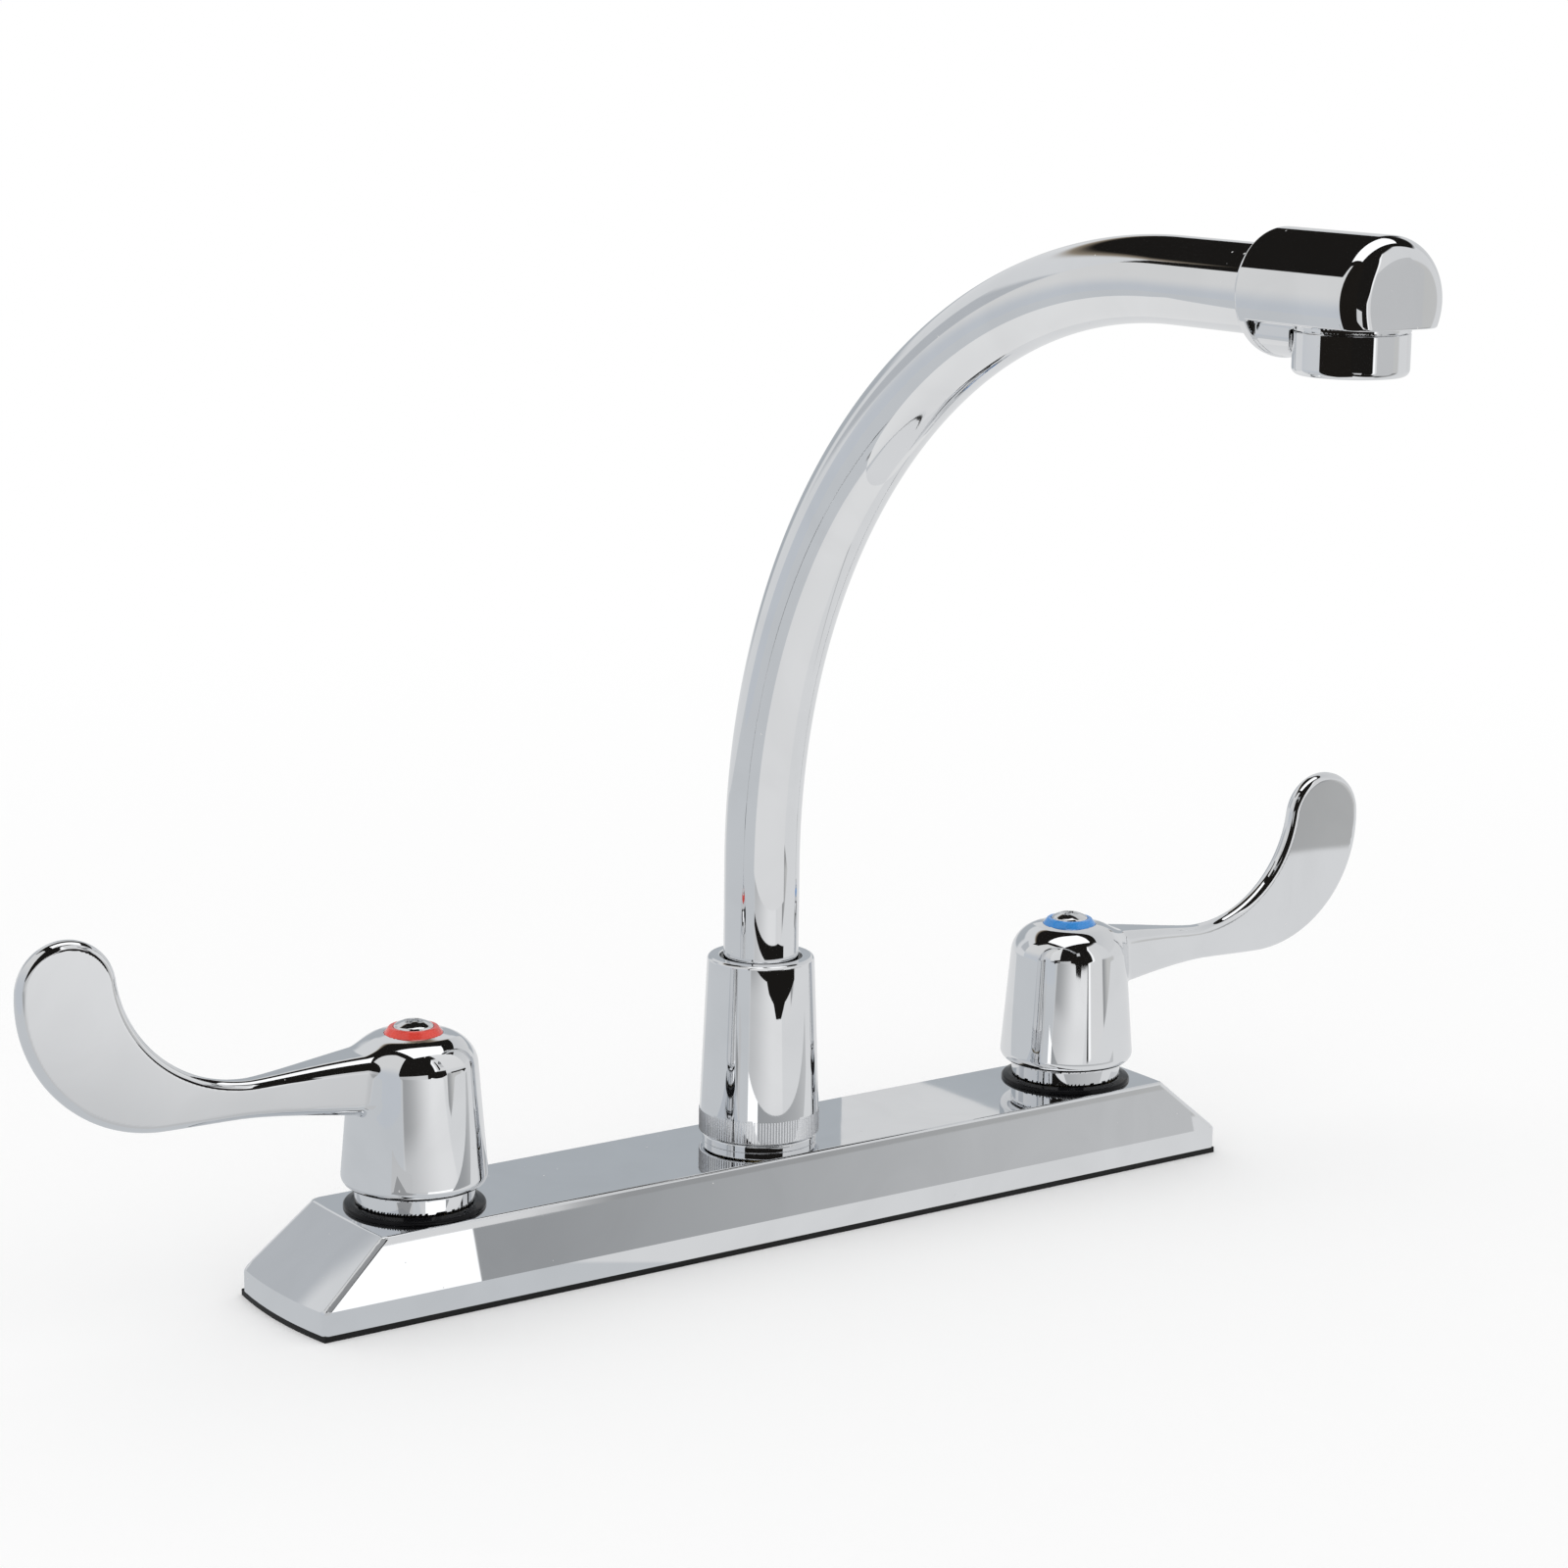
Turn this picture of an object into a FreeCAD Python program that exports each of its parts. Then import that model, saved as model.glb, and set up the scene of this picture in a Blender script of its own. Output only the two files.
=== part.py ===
import FreeCAD, Part
import math
import os

# Two-handle deck faucet with wrist blade handles and a tall swing spout.
# Millimetres, +Z up, +X to the cold side, -Y towards the user.
# The origin is the middle of the deck plate's gasket, on the deck's surface.

# Layout
handle_spacing = 203.2
hot_handle_set_angle = -5.0
cold_handle_set_angle = -3.0

# Two places count as the same within this
match_tolerance = 1e-3

# Cutters run past the surface they open by this
cut_margin = 1.0

# Running, sliding and mounting clearances
running_clearance = 0.07
slip_clearance = 0.05
lift_clearance = 0.4
hole_clearance = 0.5

# Deck plate and its gasket
plate_length = 279.4
plate_width = 41.4
plate_top_length = 242.3
plate_top_width = 36.4
plate_height = 20.5
plate_side_height = 5.7
plate_wall = 2.2
plate_end_bow = 1.8
plate_top_bow = 0.5
plate_rear_corner_radius = 3.0
plate_front_corner_radius = 1.5
plate_edge_radius = 0.8
gasket_thickness = 1.5

# Valve bodies, under the handles
shank_radius = 10.45
shank_length = 48.0
shank_bore_radius = 6.5
inlet_radius = 10.2
inlet_length = 16.0
body_flange_radius = 16.0
body_flange_thickness = 3.0
body_radius = 13.5
body_neck_radius = 12.9
body_neck_height = 6.8
chamber_radius = 10.0
chamber_floor_height = 3.5

# Crossover tubes and their sockets
crossover_tube_radius = 4.76
crossover_tube_wall = 0.8
crossover_tube_height = 11.5
socket_wall = 2.4
socket_depth = 6.0
socket_reach = 19.0

# Nuts and washers under the deck
deck_thickness = 20.0
shank_washer_radius = 17.0
shank_washer_thickness = 2.0
locknut_across_flats = 34.0
locknut_thickness = 8.0

# Black ring nuts on the plate
base_ring_radius = 17.3
base_ring_height = 2.5
base_ring_round = 0.4

# Quarter-turn cartridges
seat_seal_thickness = 1.8
seat_seal_radius = 8.0
seat_seal_hole_radius = 5.4
disc_radius = 6.8
disc_thickness = 3.2
disc_port_radius = 4.9
disc_web_radius = 1.6
disc_port_angle = 80.0
disc_slot_width = 3.2
disc_slot_depth = 1.0
cartridge_thread_height = 11.0
cage_wall = 1.5
cage_window_width = 5.0
cage_window_height = 6.0
housing_hex_across_flats = 22.0
housing_hex_height = 4.5
housing_neck_radius = 7.0
housing_neck_height = 4.5
stem_radius = 5.0
stem_flange_thickness = 1.8
stem_ring_depth = 1.2
stem_ring_spacing = 4.0
clip_radius = 6.5
clip_thickness = 0.8
clip_groove_depth = 0.8
spline_radius = 4.5
spline_depth = 0.4
spline_teeth = 20
spline_length = 13.0

# Handles: hub, arm and blade
hub_foot_radius = 15.0
hub_foot_height = 2.7
hub_radius = 18.0
hub_round_radius = 2.2
hub_top_radius = 14.7
hub_top_drop = 1.6
hub_shoulder_round = 7.6
hub_height = 40.2
hub_cavity_radius = 13.6
hub_cavity_height = 22.4
hub_boss_radius = 7.4
arm_low_height = 25.2
arm_neck_reach = 48.0
arm_neck_top_height = 34.2
arm_root_top_height = 36.9
arm_root_half_width = 12.0
arm_middle_half_width = 6.6
arm_neck_half_width = 3.0
arm_end_reach = 60.0
arm_low_slope = 1.0
blade_thickness = 4.6
blade_edge_radius = 1.7
blade_outer_radius = 34.0
blade_tip_radius = 12.0
blade_inner_radius = 32.5
blade_tip_reach = 86.8
blade_tip_height = 60.8

# Index rings and handle screws
index_ring_radius = 7.1
index_ring_hole_radius = 2.6
index_ring_rim_height = 1.3
index_ring_height = 2.6
index_seat_depth = 1.6
index_seat_rise = 1.8
screw_head_radius = 4.9
screw_head_rim = 1.1
screw_head_dome = 2.1
screw_radius = 2.0
screw_length = 19.0
recess_width = 1.3
recess_length = 5.6
recess_depth = 1.7

# Body that carries the spout, in the middle
spout_flange_radius = 15.0
spout_body_radius = 12.9
spout_neck_radius = 12.5
spout_body_top = 64.0
spout_chamber_radius = 8.0
spout_chamber_floor = 6.5
spout_base_ring_radius = 14.6
spout_base_ring_height = 2.0

# Sleeve nut on that body
nut_gap = 0.3
nut_foot_radius = 15.45
nut_top_radius = 13.6
nut_top = 70.3
nut_top_round = 1.0
nut_lip_thickness = 3.3
nut_hole_gap = 0.9
knurl_height = 6.3
knurl_depth = 0.25
knurl_teeth = 96

# Spout tube, its bushing, O-rings and thrust washer
tube_radius = 9.525
tube_wall = 1.2
tube_foot = 31.0
spout_rise = 251.0
spout_reach = 205.0
lower_bend_radius = 159.0
lower_bend_angle = 58.4
upper_bend_radius = 145.0
bushing_radius = 11.2
bushing_collar_radius = 12.1
bushing_collar_height = 1.95
bushing_ring_depth = 1.5
bushing_ring_heights = (8.0, 16.0)
thrust_washer_thickness = 0.9

# Spout head and aerator
head_radius = 13.4
head_rear_length = 21.7
head_front_length = 14.8
head_rear_round = 1.2
head_front_round = 4.0
head_shelf_drop = 5.3
head_disc_length = 3.2
head_belly_half_width = 9.8
head_tube_depth = 9.0
outlet_boss_radius = 12.0
outlet_boss_height = 1.1
aerator_gap = 0.2
aerator_radius = 12.0
aerator_height = 8.9
aerator_round = 1.6
aerator_bore_radius = 9.2
aerator_lip = 1.0
aerator_thread_radius = 10.9
aerator_thread_height = 3.6
aerator_washer_thickness = 1.4
aerator_washer_hole_radius = 7.6
screen_thickness = 0.8
screen_hole_radius = 0.75
screen_hole_spacing = 2.4
insert_height = 8.0
insert_hole_radius = 1.1
insert_hole_spacing = 3.4

# Heights and places that follow from the sizes above
half_spacing = handle_spacing / 2
plate_low = gasket_thickness
plate_top = gasket_thickness + plate_height
plate_ceiling = plate_top - plate_wall
chamber_floor = gasket_thickness + chamber_floor_height
body_top = plate_top + body_neck_height
seal_top = chamber_floor + seat_seal_thickness
fixed_disc_top = seal_top + disc_thickness
moving_disc_top = fixed_disc_top + disc_thickness
flange_top = moving_disc_top + stem_flange_thickness
hex_top = body_top + housing_hex_height
housing_top = hex_top + housing_neck_height
clip_low = housing_top + slip_clearance
clip_top = clip_low + clip_thickness
spline_low = clip_top + clip_thickness
stem_top = spline_low + spline_length
base_ring_top = plate_top + base_ring_height
hub_low = base_ring_top + lift_clearance
hub_top = hub_low + hub_height
index_seat = hub_top - index_seat_depth
screw_seat = index_seat + index_seat_rise
cage_radius = disc_radius + slip_clearance + cage_wall
nut_low = plate_top + spout_base_ring_height + nut_gap
nut_bore_radius = spout_neck_radius + slip_clearance
nut_hole_radius = tube_radius + nut_hole_gap
bushing_top = spout_body_top + slip_clearance + bushing_collar_height
shelf_height = spout_rise - head_shelf_drop
aerator_top = shelf_height - outlet_boss_height - aerator_gap
aerator_low = aerator_top - aerator_height
aerator_thread_top = aerator_top + aerator_thread_height


def save(shape, name):
    """Write one piece as a STEP file under its node's name."""
    shape.exportStep("parts/" + name + ".step")


def point(x, y, z):
    return FreeCAD.Vector(x, y, z)


def cylinder(radius, low, high, x=0.0, y=0.0):
    """Upright cylinder between two heights."""
    return Part.makeCylinder(radius, high - low, point(x, y, low))


def ring(outer, inner, low, high):
    """Upright cylinder with a through hole."""
    return cylinder(outer, low, high).cut(cylinder(inner, low, high))


def turned(corners):
    """Solid turned about Z from a closed outline of (radius, height) corners."""
    outline = [point(radius, 0, height) for radius, height in corners]
    face = Part.Face(Part.makePolygon(outline + outline[:1]))
    return face.revolve(point(0, 0, 0), point(0, 0, 1), 360)


def hexagon(across_flats, low, high):
    """Upright hexagonal prism."""
    corner_radius = across_flats / 2 / math.cos(math.radians(30))
    return prism(polygon_corners(corner_radius, 6), low, high)


def polygon_corners(radius, count, inner_radius=None):
    """Corners of a regular polygon, or of a toothed one where an inner radius is given."""
    corners = []
    steps = count if inner_radius is None else 2 * count
    for step in range(steps):
        reach = radius if inner_radius is None or step % 2 == 0 else inner_radius
        angle = 2 * math.pi * step / steps
        corners.append((reach * math.cos(angle), reach * math.sin(angle)))
    return corners


def prism(corners, low, high):
    """Upright prism on a closed outline of (x, y) corners."""
    outline = [point(x, y, low) for x, y in corners]
    face = Part.Face(Part.makePolygon(outline + outline[:1]))
    return face.extrude(point(0, 0, high - low))


def arc(start, middle, end):
    return Part.Arc(start, middle, end).toShape()


def moved(shape, x=0.0, y=0.0, angle=0.0):
    """Copy turned about Z and then moved."""
    copy = shape.copy()
    copy.rotate(point(0, 0, 0), point(0, 0, 1), angle)
    copy.translate(point(x, y, 0))
    return copy


def rounded(shape, radius, wanted):
    """Round the edges that the test picks."""
    edges = [edge for edge in shape.Edges if wanted(edge)]
    return shape.makeFillet(radius, edges)


def o_ring(outer, depth, height):
    """Rubber ring whose section fills its groove."""
    section_radius = depth / 2
    return Part.makeTorus(outer - section_radius, section_radius, point(0, 0, height))


def plate_outline(length, width, bow, height):
    """Outline of the plate at one height: straight front and back, bowed ends."""
    x = length / 2 - bow
    y = width / 2
    corners = [point(-x, -y, height), point(x, -y, height), point(x, y, height), point(-x, y, height)]
    return Part.Wire([
        Part.LineSegment(corners[0], corners[1]).toShape(),
        arc(corners[1], point(length / 2, 0, height), corners[2]),
        Part.LineSegment(corners[2], corners[3]).toShape(),
        arc(corners[3], point(-length / 2, 0, height), corners[0]),
    ])


def plate_block(inset, low, top):
    """Plate as a solid: an upright side wall, then sloped sides up to the flat top."""
    length = plate_length - 2 * inset
    width = plate_width - 2 * inset
    side_top = plate_low + plate_side_height
    low_wire = plate_outline(length, width, plate_end_bow, low)
    side_wire = plate_outline(length, width, plate_end_bow, side_top)
    top_wire = plate_outline(plate_top_length - 2 * inset, plate_top_width - 2 * inset, plate_top_bow, top)
    wall = Part.makeLoft([low_wire, side_wire], True, True)
    roof = Part.makeLoft([side_wire, top_wire], True, True)
    return wall.fuse(roof)


def deck_plate():
    """Hollow cover plate, with holes for the two valve bodies and the spout's body."""
    shell = plate_block(0.0, plate_low, plate_top)
    shell = rounded(shell, plate_rear_corner_radius, lambda edge: spans_corner(edge, 1))
    shell = rounded(shell, plate_front_corner_radius, lambda edge: spans_corner(edge, -1))
    shell = rounded(shell, plate_edge_radius, lambda edge: lies_at(edge, plate_top))
    shell = shell.cut(plate_block(plate_wall, plate_low, plate_ceiling))
    for x in (-half_spacing, half_spacing):
        shell = shell.cut(cylinder(body_neck_radius + hole_clearance, plate_low, plate_top, x))
    return shell.cut(cylinder(spout_neck_radius + hole_clearance, plate_low, plate_top))


def spans_corner(edge, side):
    """True for the plate's corner edges on one side: those that rise near a corner in plan."""
    box = edge.BoundBox
    near_end = min(abs(box.XMin), abs(box.XMax)) > plate_top_length / 2 - plate_end_bow
    near_side = min(abs(box.YMin), abs(box.YMax)) > plate_top_width / 2 - plate_end_bow
    return box.ZLength > plate_edge_radius and near_end and near_side and side * edge.CenterOfMass.y > 0


def lies_at(edge, height):
    box = edge.BoundBox
    return abs(box.ZMin - height) < match_tolerance and abs(box.ZMax - height) < match_tolerance


def deck_gasket():
    """Black sheet under the plate, with a hole for each shank."""
    sheet = Part.Face(plate_outline(plate_length, plate_width, plate_end_bow, 0.0))
    sheet = sheet.extrude(point(0, 0, gasket_thickness))
    for x in (-half_spacing, half_spacing):
        sheet = sheet.cut(cylinder(shank_radius + hole_clearance, 0.0, gasket_thickness, x))
    return sheet


def crossover_socket(inner_radius):
    """Side boss that takes a crossover tube, and the hole in it, both towards +X."""
    boss_radius = crossover_tube_radius + socket_wall
    axis = point(1, 0, 0)
    start = point(inner_radius, 0, crossover_tube_height)
    boss = Part.makeCylinder(boss_radius, socket_reach - inner_radius, start, axis)
    seat = Part.makeCylinder(crossover_tube_radius + slip_clearance, socket_depth,
                             point(socket_reach - socket_depth, 0, crossover_tube_height), axis)
    port = Part.makeCylinder(crossover_tube_radius - crossover_tube_wall, socket_reach,
                             point(0, 0, crossover_tube_height), axis)
    return boss, seat.fuse(port)


def valve_body():
    """Brass body: threaded shank with a plain inlet end, flange on the deck, barrel and threaded neck."""
    inlet_top = inlet_length - shank_length
    body = cylinder(shank_radius, inlet_top, gasket_thickness)
    body = body.fuse(cylinder(inlet_radius, -shank_length, inlet_top))
    body = body.fuse(cylinder(body_flange_radius, gasket_thickness, gasket_thickness + body_flange_thickness))
    body = body.fuse(cylinder(body_radius, gasket_thickness, plate_ceiling))
    body = body.fuse(cylinder(body_neck_radius, gasket_thickness, body_top))
    boss, opening = crossover_socket(chamber_radius)
    body = body.fuse(boss)
    body = body.cut(cylinder(shank_bore_radius, -shank_length, chamber_floor))
    body = body.cut(cylinder(chamber_radius, chamber_floor, body_top))
    return body.cut(opening).removeSplitter()


def crossover_tube():
    """Copper tube from a valve body's socket to the spout body's socket, along +X."""
    start = point(socket_reach - socket_depth, 0, crossover_tube_height)
    length = half_spacing - 2 * (socket_reach - socket_depth)
    axis = point(1, 0, 0)
    tube = Part.makeCylinder(crossover_tube_radius, length, start, axis)
    return tube.cut(Part.makeCylinder(crossover_tube_radius - crossover_tube_wall, length, start, axis))


def shank_washer():
    """Flat washer against the underside of the deck."""
    return ring(shank_washer_radius, shank_radius + hole_clearance, -deck_thickness - shank_washer_thickness,
                -deck_thickness)


def locknut():
    """Hexagon nut that draws the shank down, with its hexagon chamfered below."""
    top = -deck_thickness - shank_washer_thickness
    nut = hexagon(locknut_across_flats, top - locknut_thickness, top)
    corner_radius = locknut_across_flats / 2 / math.cos(math.radians(30))
    chamfer = corner_radius - locknut_across_flats / 2
    bevel = turned([(0, top - locknut_thickness), (locknut_across_flats / 2, top - locknut_thickness),
                    (corner_radius, top - locknut_thickness + chamfer), (corner_radius, top), (0, top)])
    return nut.common(bevel).cut(cylinder(shank_radius + slip_clearance, top - locknut_thickness, top))


def base_ring():
    """Black ring nut on the valve body's neck, which holds the plate down."""
    nut = ring(base_ring_radius, body_neck_radius + slip_clearance, plate_top, base_ring_top)
    return rounded(nut, base_ring_round, lambda edge: is_rim(edge, base_ring_radius))


def is_rim(edge, radius):
    """True for a full circle of this radius."""
    curve = edge.Curve
    return isinstance(curve, Part.Circle) and abs(curve.Radius - radius) < match_tolerance


def cartridge_housing():
    """Brass cartridge: a caged foot round the discs, a threaded middle, a hexagon and a neck."""
    bore = stem_radius + running_clearance
    pocket = disc_radius + slip_clearance
    thread_low = body_top - cartridge_thread_height
    housing = cylinder(cage_radius, seal_top, body_top)
    housing = housing.fuse(cylinder(chamber_radius - slip_clearance, thread_low, body_top))
    housing = housing.fuse(hexagon(housing_hex_across_flats, body_top, hex_top))
    housing = housing.fuse(cylinder(housing_neck_radius, hex_top, housing_top))
    housing = housing.cut(cylinder(pocket, seal_top, flange_top + slip_clearance))
    housing = housing.cut(cylinder(bore, flange_top, housing_top))
    window_low = fixed_disc_top - disc_thickness / 2
    window = Part.makeBox(2 * chamber_radius, cage_window_width, cage_window_height,
                          point(-chamber_radius, -cage_window_width / 2, window_low))
    return housing.cut(window).removeSplitter()


def seat_seal():
    """Rubber seal between the floor of the valve body and the fixed disc."""
    return ring(seat_seal_radius, seat_seal_hole_radius, chamber_floor, seal_top)


def disc_blank(low):
    """Ceramic disc with two opposite sector ports."""
    disc = cylinder(disc_radius, low, low + disc_thickness)
    for side in (0.0, 180.0):
        sector = Part.makeCylinder(disc_port_radius, disc_thickness, point(0, 0, low), point(0, 0, 1),
                                   disc_port_angle)
        sector = sector.cut(cylinder(disc_web_radius, low, low + disc_thickness))
        disc = disc.cut(moved(sector, angle=side - disc_port_angle / 2))
    return disc


def fixed_disc():
    return moved(disc_blank(seal_top), angle=90.0)


def moving_disc():
    """Disc that the stem turns, with a slot for the stem's key."""
    disc = disc_blank(fixed_disc_top)
    slot = Part.makeBox(disc_slot_width, 2 * disc_radius, disc_slot_depth,
                        point(-disc_slot_width / 2, -disc_radius, moving_disc_top - disc_slot_depth))
    return disc.cut(slot)


def stem_ring_heights():
    """Heights of the two O-rings on the stem."""
    upper = hex_top - stem_ring_depth
    return (upper - stem_ring_spacing, upper)


def stem():
    """Splined brass stem with a flange and key at its foot, two O-ring grooves and a clip groove."""
    key_width = disc_slot_width - 2 * slip_clearance
    key_length = 2 * (disc_radius - slip_clearance)
    body = cylinder(disc_radius - slip_clearance, moving_disc_top, flange_top - slip_clearance)
    key_low = moving_disc_top - disc_slot_depth + slip_clearance
    key = Part.makeBox(key_width, key_length, moving_disc_top - key_low,
                       point(-key_width / 2, -key_length / 2, key_low))
    key = key.common(cylinder(disc_radius - slip_clearance, seal_top, flange_top))
    body = body.fuse(key)
    body = body.fuse(cylinder(stem_radius, moving_disc_top, spline_low))
    teeth = polygon_corners(spline_radius, spline_teeth, spline_radius - spline_depth)
    body = body.fuse(prism(teeth, spline_low, stem_top))
    for height in stem_ring_heights():
        groove = ring(stem_radius + cut_margin, stem_radius - stem_ring_depth, height - stem_ring_depth / 2,
                      height + stem_ring_depth / 2)
        body = body.cut(groove)
    body = body.cut(ring(stem_radius + cut_margin, stem_radius - clip_groove_depth, clip_low, clip_top))
    return body.cut(cylinder(screw_radius + slip_clearance, screw_seat - screw_length - cut_margin, stem_top))


def stem_o_rings():
    """The stem's two O-rings."""
    rings = [o_ring(stem_radius, stem_ring_depth, height) for height in stem_ring_heights()]
    return Part.makeCompound(rings)


def retaining_clip():
    """Split ring in the stem's groove, above the cartridge housing."""
    clip = ring(clip_radius, stem_radius - clip_groove_depth + slip_clearance, clip_low, clip_top)
    gap = Part.makeBox(clip_radius, 2 * clip_thickness, clip_thickness, point(0, -clip_thickness, clip_low))
    return clip.cut(gap)


def hub_block():
    """Outside of the hub: short foot, rounded lower edge, taper, round shoulder and shallow dome."""
    foot_top = hub_low + hub_foot_height
    hub = turned([(0, hub_low), (hub_foot_radius, hub_low), (hub_foot_radius, foot_top),
                  (hub_radius, foot_top), (hub_top_radius, hub_top - hub_top_drop),
                  (index_ring_radius, hub_top), (0, hub_top)])
    hub = rounded(hub, hub_round_radius, lambda edge: is_rim(edge, hub_radius))
    return rounded(hub, hub_shoulder_round, lambda edge: is_rim(edge, hub_top_radius))


def tangent_point(centre, other, radius):
    """Point of a circle that faces another centre, in the (reach, height) plane."""
    reach = other[0] - centre[0]
    height = other[1] - centre[1]
    length = math.hypot(reach, height)
    return centre[0] + radius * reach / length, centre[1] + radius * height / length


def blade_side_face():
    """Side view of arm and blade: a slim arm, then a paddle that curls up to a round tip."""
    tip = (blade_tip_reach, hub_low + blade_tip_height)
    low = hub_low + arm_low_height
    neck_top = hub_low + arm_neck_top_height
    # The outer edge's circle touches the round tip from inside and the arm's lower edge.
    outer_height = low + blade_outer_radius
    outer_drop = tip[1] - outer_height
    outer_reach = tip[0] - math.sqrt((blade_outer_radius - blade_tip_radius) ** 2 - outer_drop ** 2)
    outer = (outer_reach, outer_height)
    # The inner edge's circle touches the round tip and the arm's upper edge from outside.
    inner_height = neck_top + blade_inner_radius
    inner_rise = inner_height - tip[1]
    inner_reach = tip[0] - math.sqrt((blade_inner_radius + blade_tip_radius) ** 2 - inner_rise ** 2)
    inner = (inner_reach, inner_height)

    def on_plane(place):
        return point(place[0], 0, place[1])

    root_low = on_plane((0.0, low - arm_low_slope))
    low_touch = on_plane((outer[0], low))
    outer_touch = tangent_point(outer, tip, blade_outer_radius)
    outer_angle = math.atan2(outer_touch[1] - outer[1], outer_touch[0] - outer[0])
    outer_middle = on_circle(outer, blade_outer_radius, (outer_angle - math.pi / 2) / 2)
    inner_touch = tangent_point(inner, tip, blade_inner_radius)
    inner_angle = math.atan2(inner_touch[1] - inner[1], inner_touch[0] - inner[0])
    inner_middle = on_circle(inner, blade_inner_radius, (inner_angle - math.pi / 2) / 2)
    neck_touch = on_plane((inner[0], neck_top))
    root_top = on_plane((0.0, hub_low + arm_root_top_height))
    tip_top = on_plane((tip[0], tip[1] + blade_tip_radius))
    edges = [
        Part.LineSegment(root_low, low_touch).toShape(),
        arc(low_touch, on_plane(outer_middle), on_plane(outer_touch)),
        arc(on_plane(outer_touch), tip_top, on_plane(inner_touch)),
        arc(on_plane(inner_touch), on_plane(inner_middle), neck_touch),
        Part.LineSegment(neck_touch, root_top).toShape(),
        Part.LineSegment(root_top, root_low).toShape(),
    ]
    return Part.Face(Part.Wire(edges))


def on_circle(centre, radius, angle):
    return centre[0] + radius * math.cos(angle), centre[1] + radius * math.sin(angle)


def arm_plan_face(height):
    """Plan view of arm and blade: as wide as the hub at its root, then as thin as the blade."""
    stations = [(0.0, arm_root_half_width), (arm_neck_reach / 2, arm_middle_half_width),
                (arm_neck_reach, arm_neck_half_width), (arm_end_reach, blade_thickness / 2)]
    end = blade_tip_reach + 2 * blade_tip_radius
    side = Part.BSplineCurve()
    side.interpolate([point(x, y, height) for x, y in stations])
    far = Part.BSplineCurve()
    far.interpolate([point(x, -y, height) for x, y in stations])
    last = stations[-1]
    edges = [
        side.toShape(),
        Part.LineSegment(point(last[0], last[1], height), point(end, last[1], height)).toShape(),
        Part.LineSegment(point(end, last[1], height), point(end, -last[1], height)).toShape(),
        Part.LineSegment(point(end, -last[1], height), point(last[0], -last[1], height)).toShape(),
        far.toShape(),
        Part.LineSegment(point(0, -stations[0][1], height), point(0, stations[0][1], height)).toShape(),
    ]
    return Part.Face(Part.Wire(Part.__sortEdges__(edges)))


def blade_block():
    """Arm and blade: the side view and the plan view cut from each other, with soft edges."""
    side = blade_side_face()
    depth = 2 * arm_root_half_width
    side.translate(point(0, -depth / 2, 0))
    side_block = side.extrude(point(0, depth, 0))
    plan_block = arm_plan_face(hub_low).extrude(point(0, 0, 2 * blade_tip_height))
    block = side_block.common(plan_block).removeSplitter()
    return rounded(block, blade_edge_radius, is_long_edge)


def is_long_edge(edge):
    """True for the edges that run along the arm and round the blade."""
    box = edge.BoundBox
    crosses = box.YLength > blade_thickness and box.XLength < match_tolerance
    at_root = box.XMax < match_tolerance
    upright_end = box.YLength > blade_thickness / 2 and box.XLength < match_tolerance
    return not crosses and not at_root and not upright_end


def handle():
    """Hub, arm and blade in one casting, hollow below, with a splined boss for the stem."""
    casting = hub_block().fuse(blade_block())
    cavity_top = hub_low + hub_cavity_height
    boss_low = spline_low + slip_clearance
    cavity = cylinder(hub_cavity_radius, hub_low, cavity_top)
    cavity = cavity.cut(cylinder(hub_boss_radius, boss_low, cavity_top))
    casting = casting.cut(cavity)
    spline = prism(polygon_corners(spline_radius + slip_clearance, spline_teeth,
                                   spline_radius - spline_depth + slip_clearance),
                   boss_low, stem_top + slip_clearance)
    casting = casting.cut(spline)
    casting = casting.cut(cylinder(index_ring_hole_radius, stem_top, index_seat))
    return casting.cut(cylinder(index_ring_radius + slip_clearance, index_seat, hub_top))


def index_ring():
    """Coloured ring round the screw, with a sloped outer face."""
    seat_radius = screw_head_radius + slip_clearance
    return turned([(index_ring_hole_radius, index_seat), (index_ring_radius, index_seat),
                   (index_ring_radius, index_seat + index_ring_rim_height),
                   (seat_radius, index_seat + index_ring_height), (seat_radius, screw_seat),
                   (index_ring_hole_radius, screw_seat)])


def handle_screw():
    """Domed screw with a cross recess, down into the stem."""
    rim_top = screw_seat + screw_head_rim
    dome_radius = (screw_head_radius ** 2 + screw_head_dome ** 2) / (2 * screw_head_dome)
    dome = Part.makeSphere(dome_radius, point(0, 0, rim_top + screw_head_dome - dome_radius))
    head = cylinder(screw_head_radius, screw_seat, rim_top + screw_head_dome).common(
        dome.fuse(cylinder(screw_head_radius, screw_seat, rim_top)))
    screw = head.fuse(cylinder(screw_radius, screw_seat - screw_length, screw_seat))
    recess_low = rim_top + screw_head_dome - recess_depth
    for length, width in ((recess_length, recess_width), (recess_width, recess_length)):
        slot = Part.makeBox(length, width, recess_depth, point(-length / 2, -width / 2, recess_low))
        screw = screw.cut(slot)
    return screw


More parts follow.
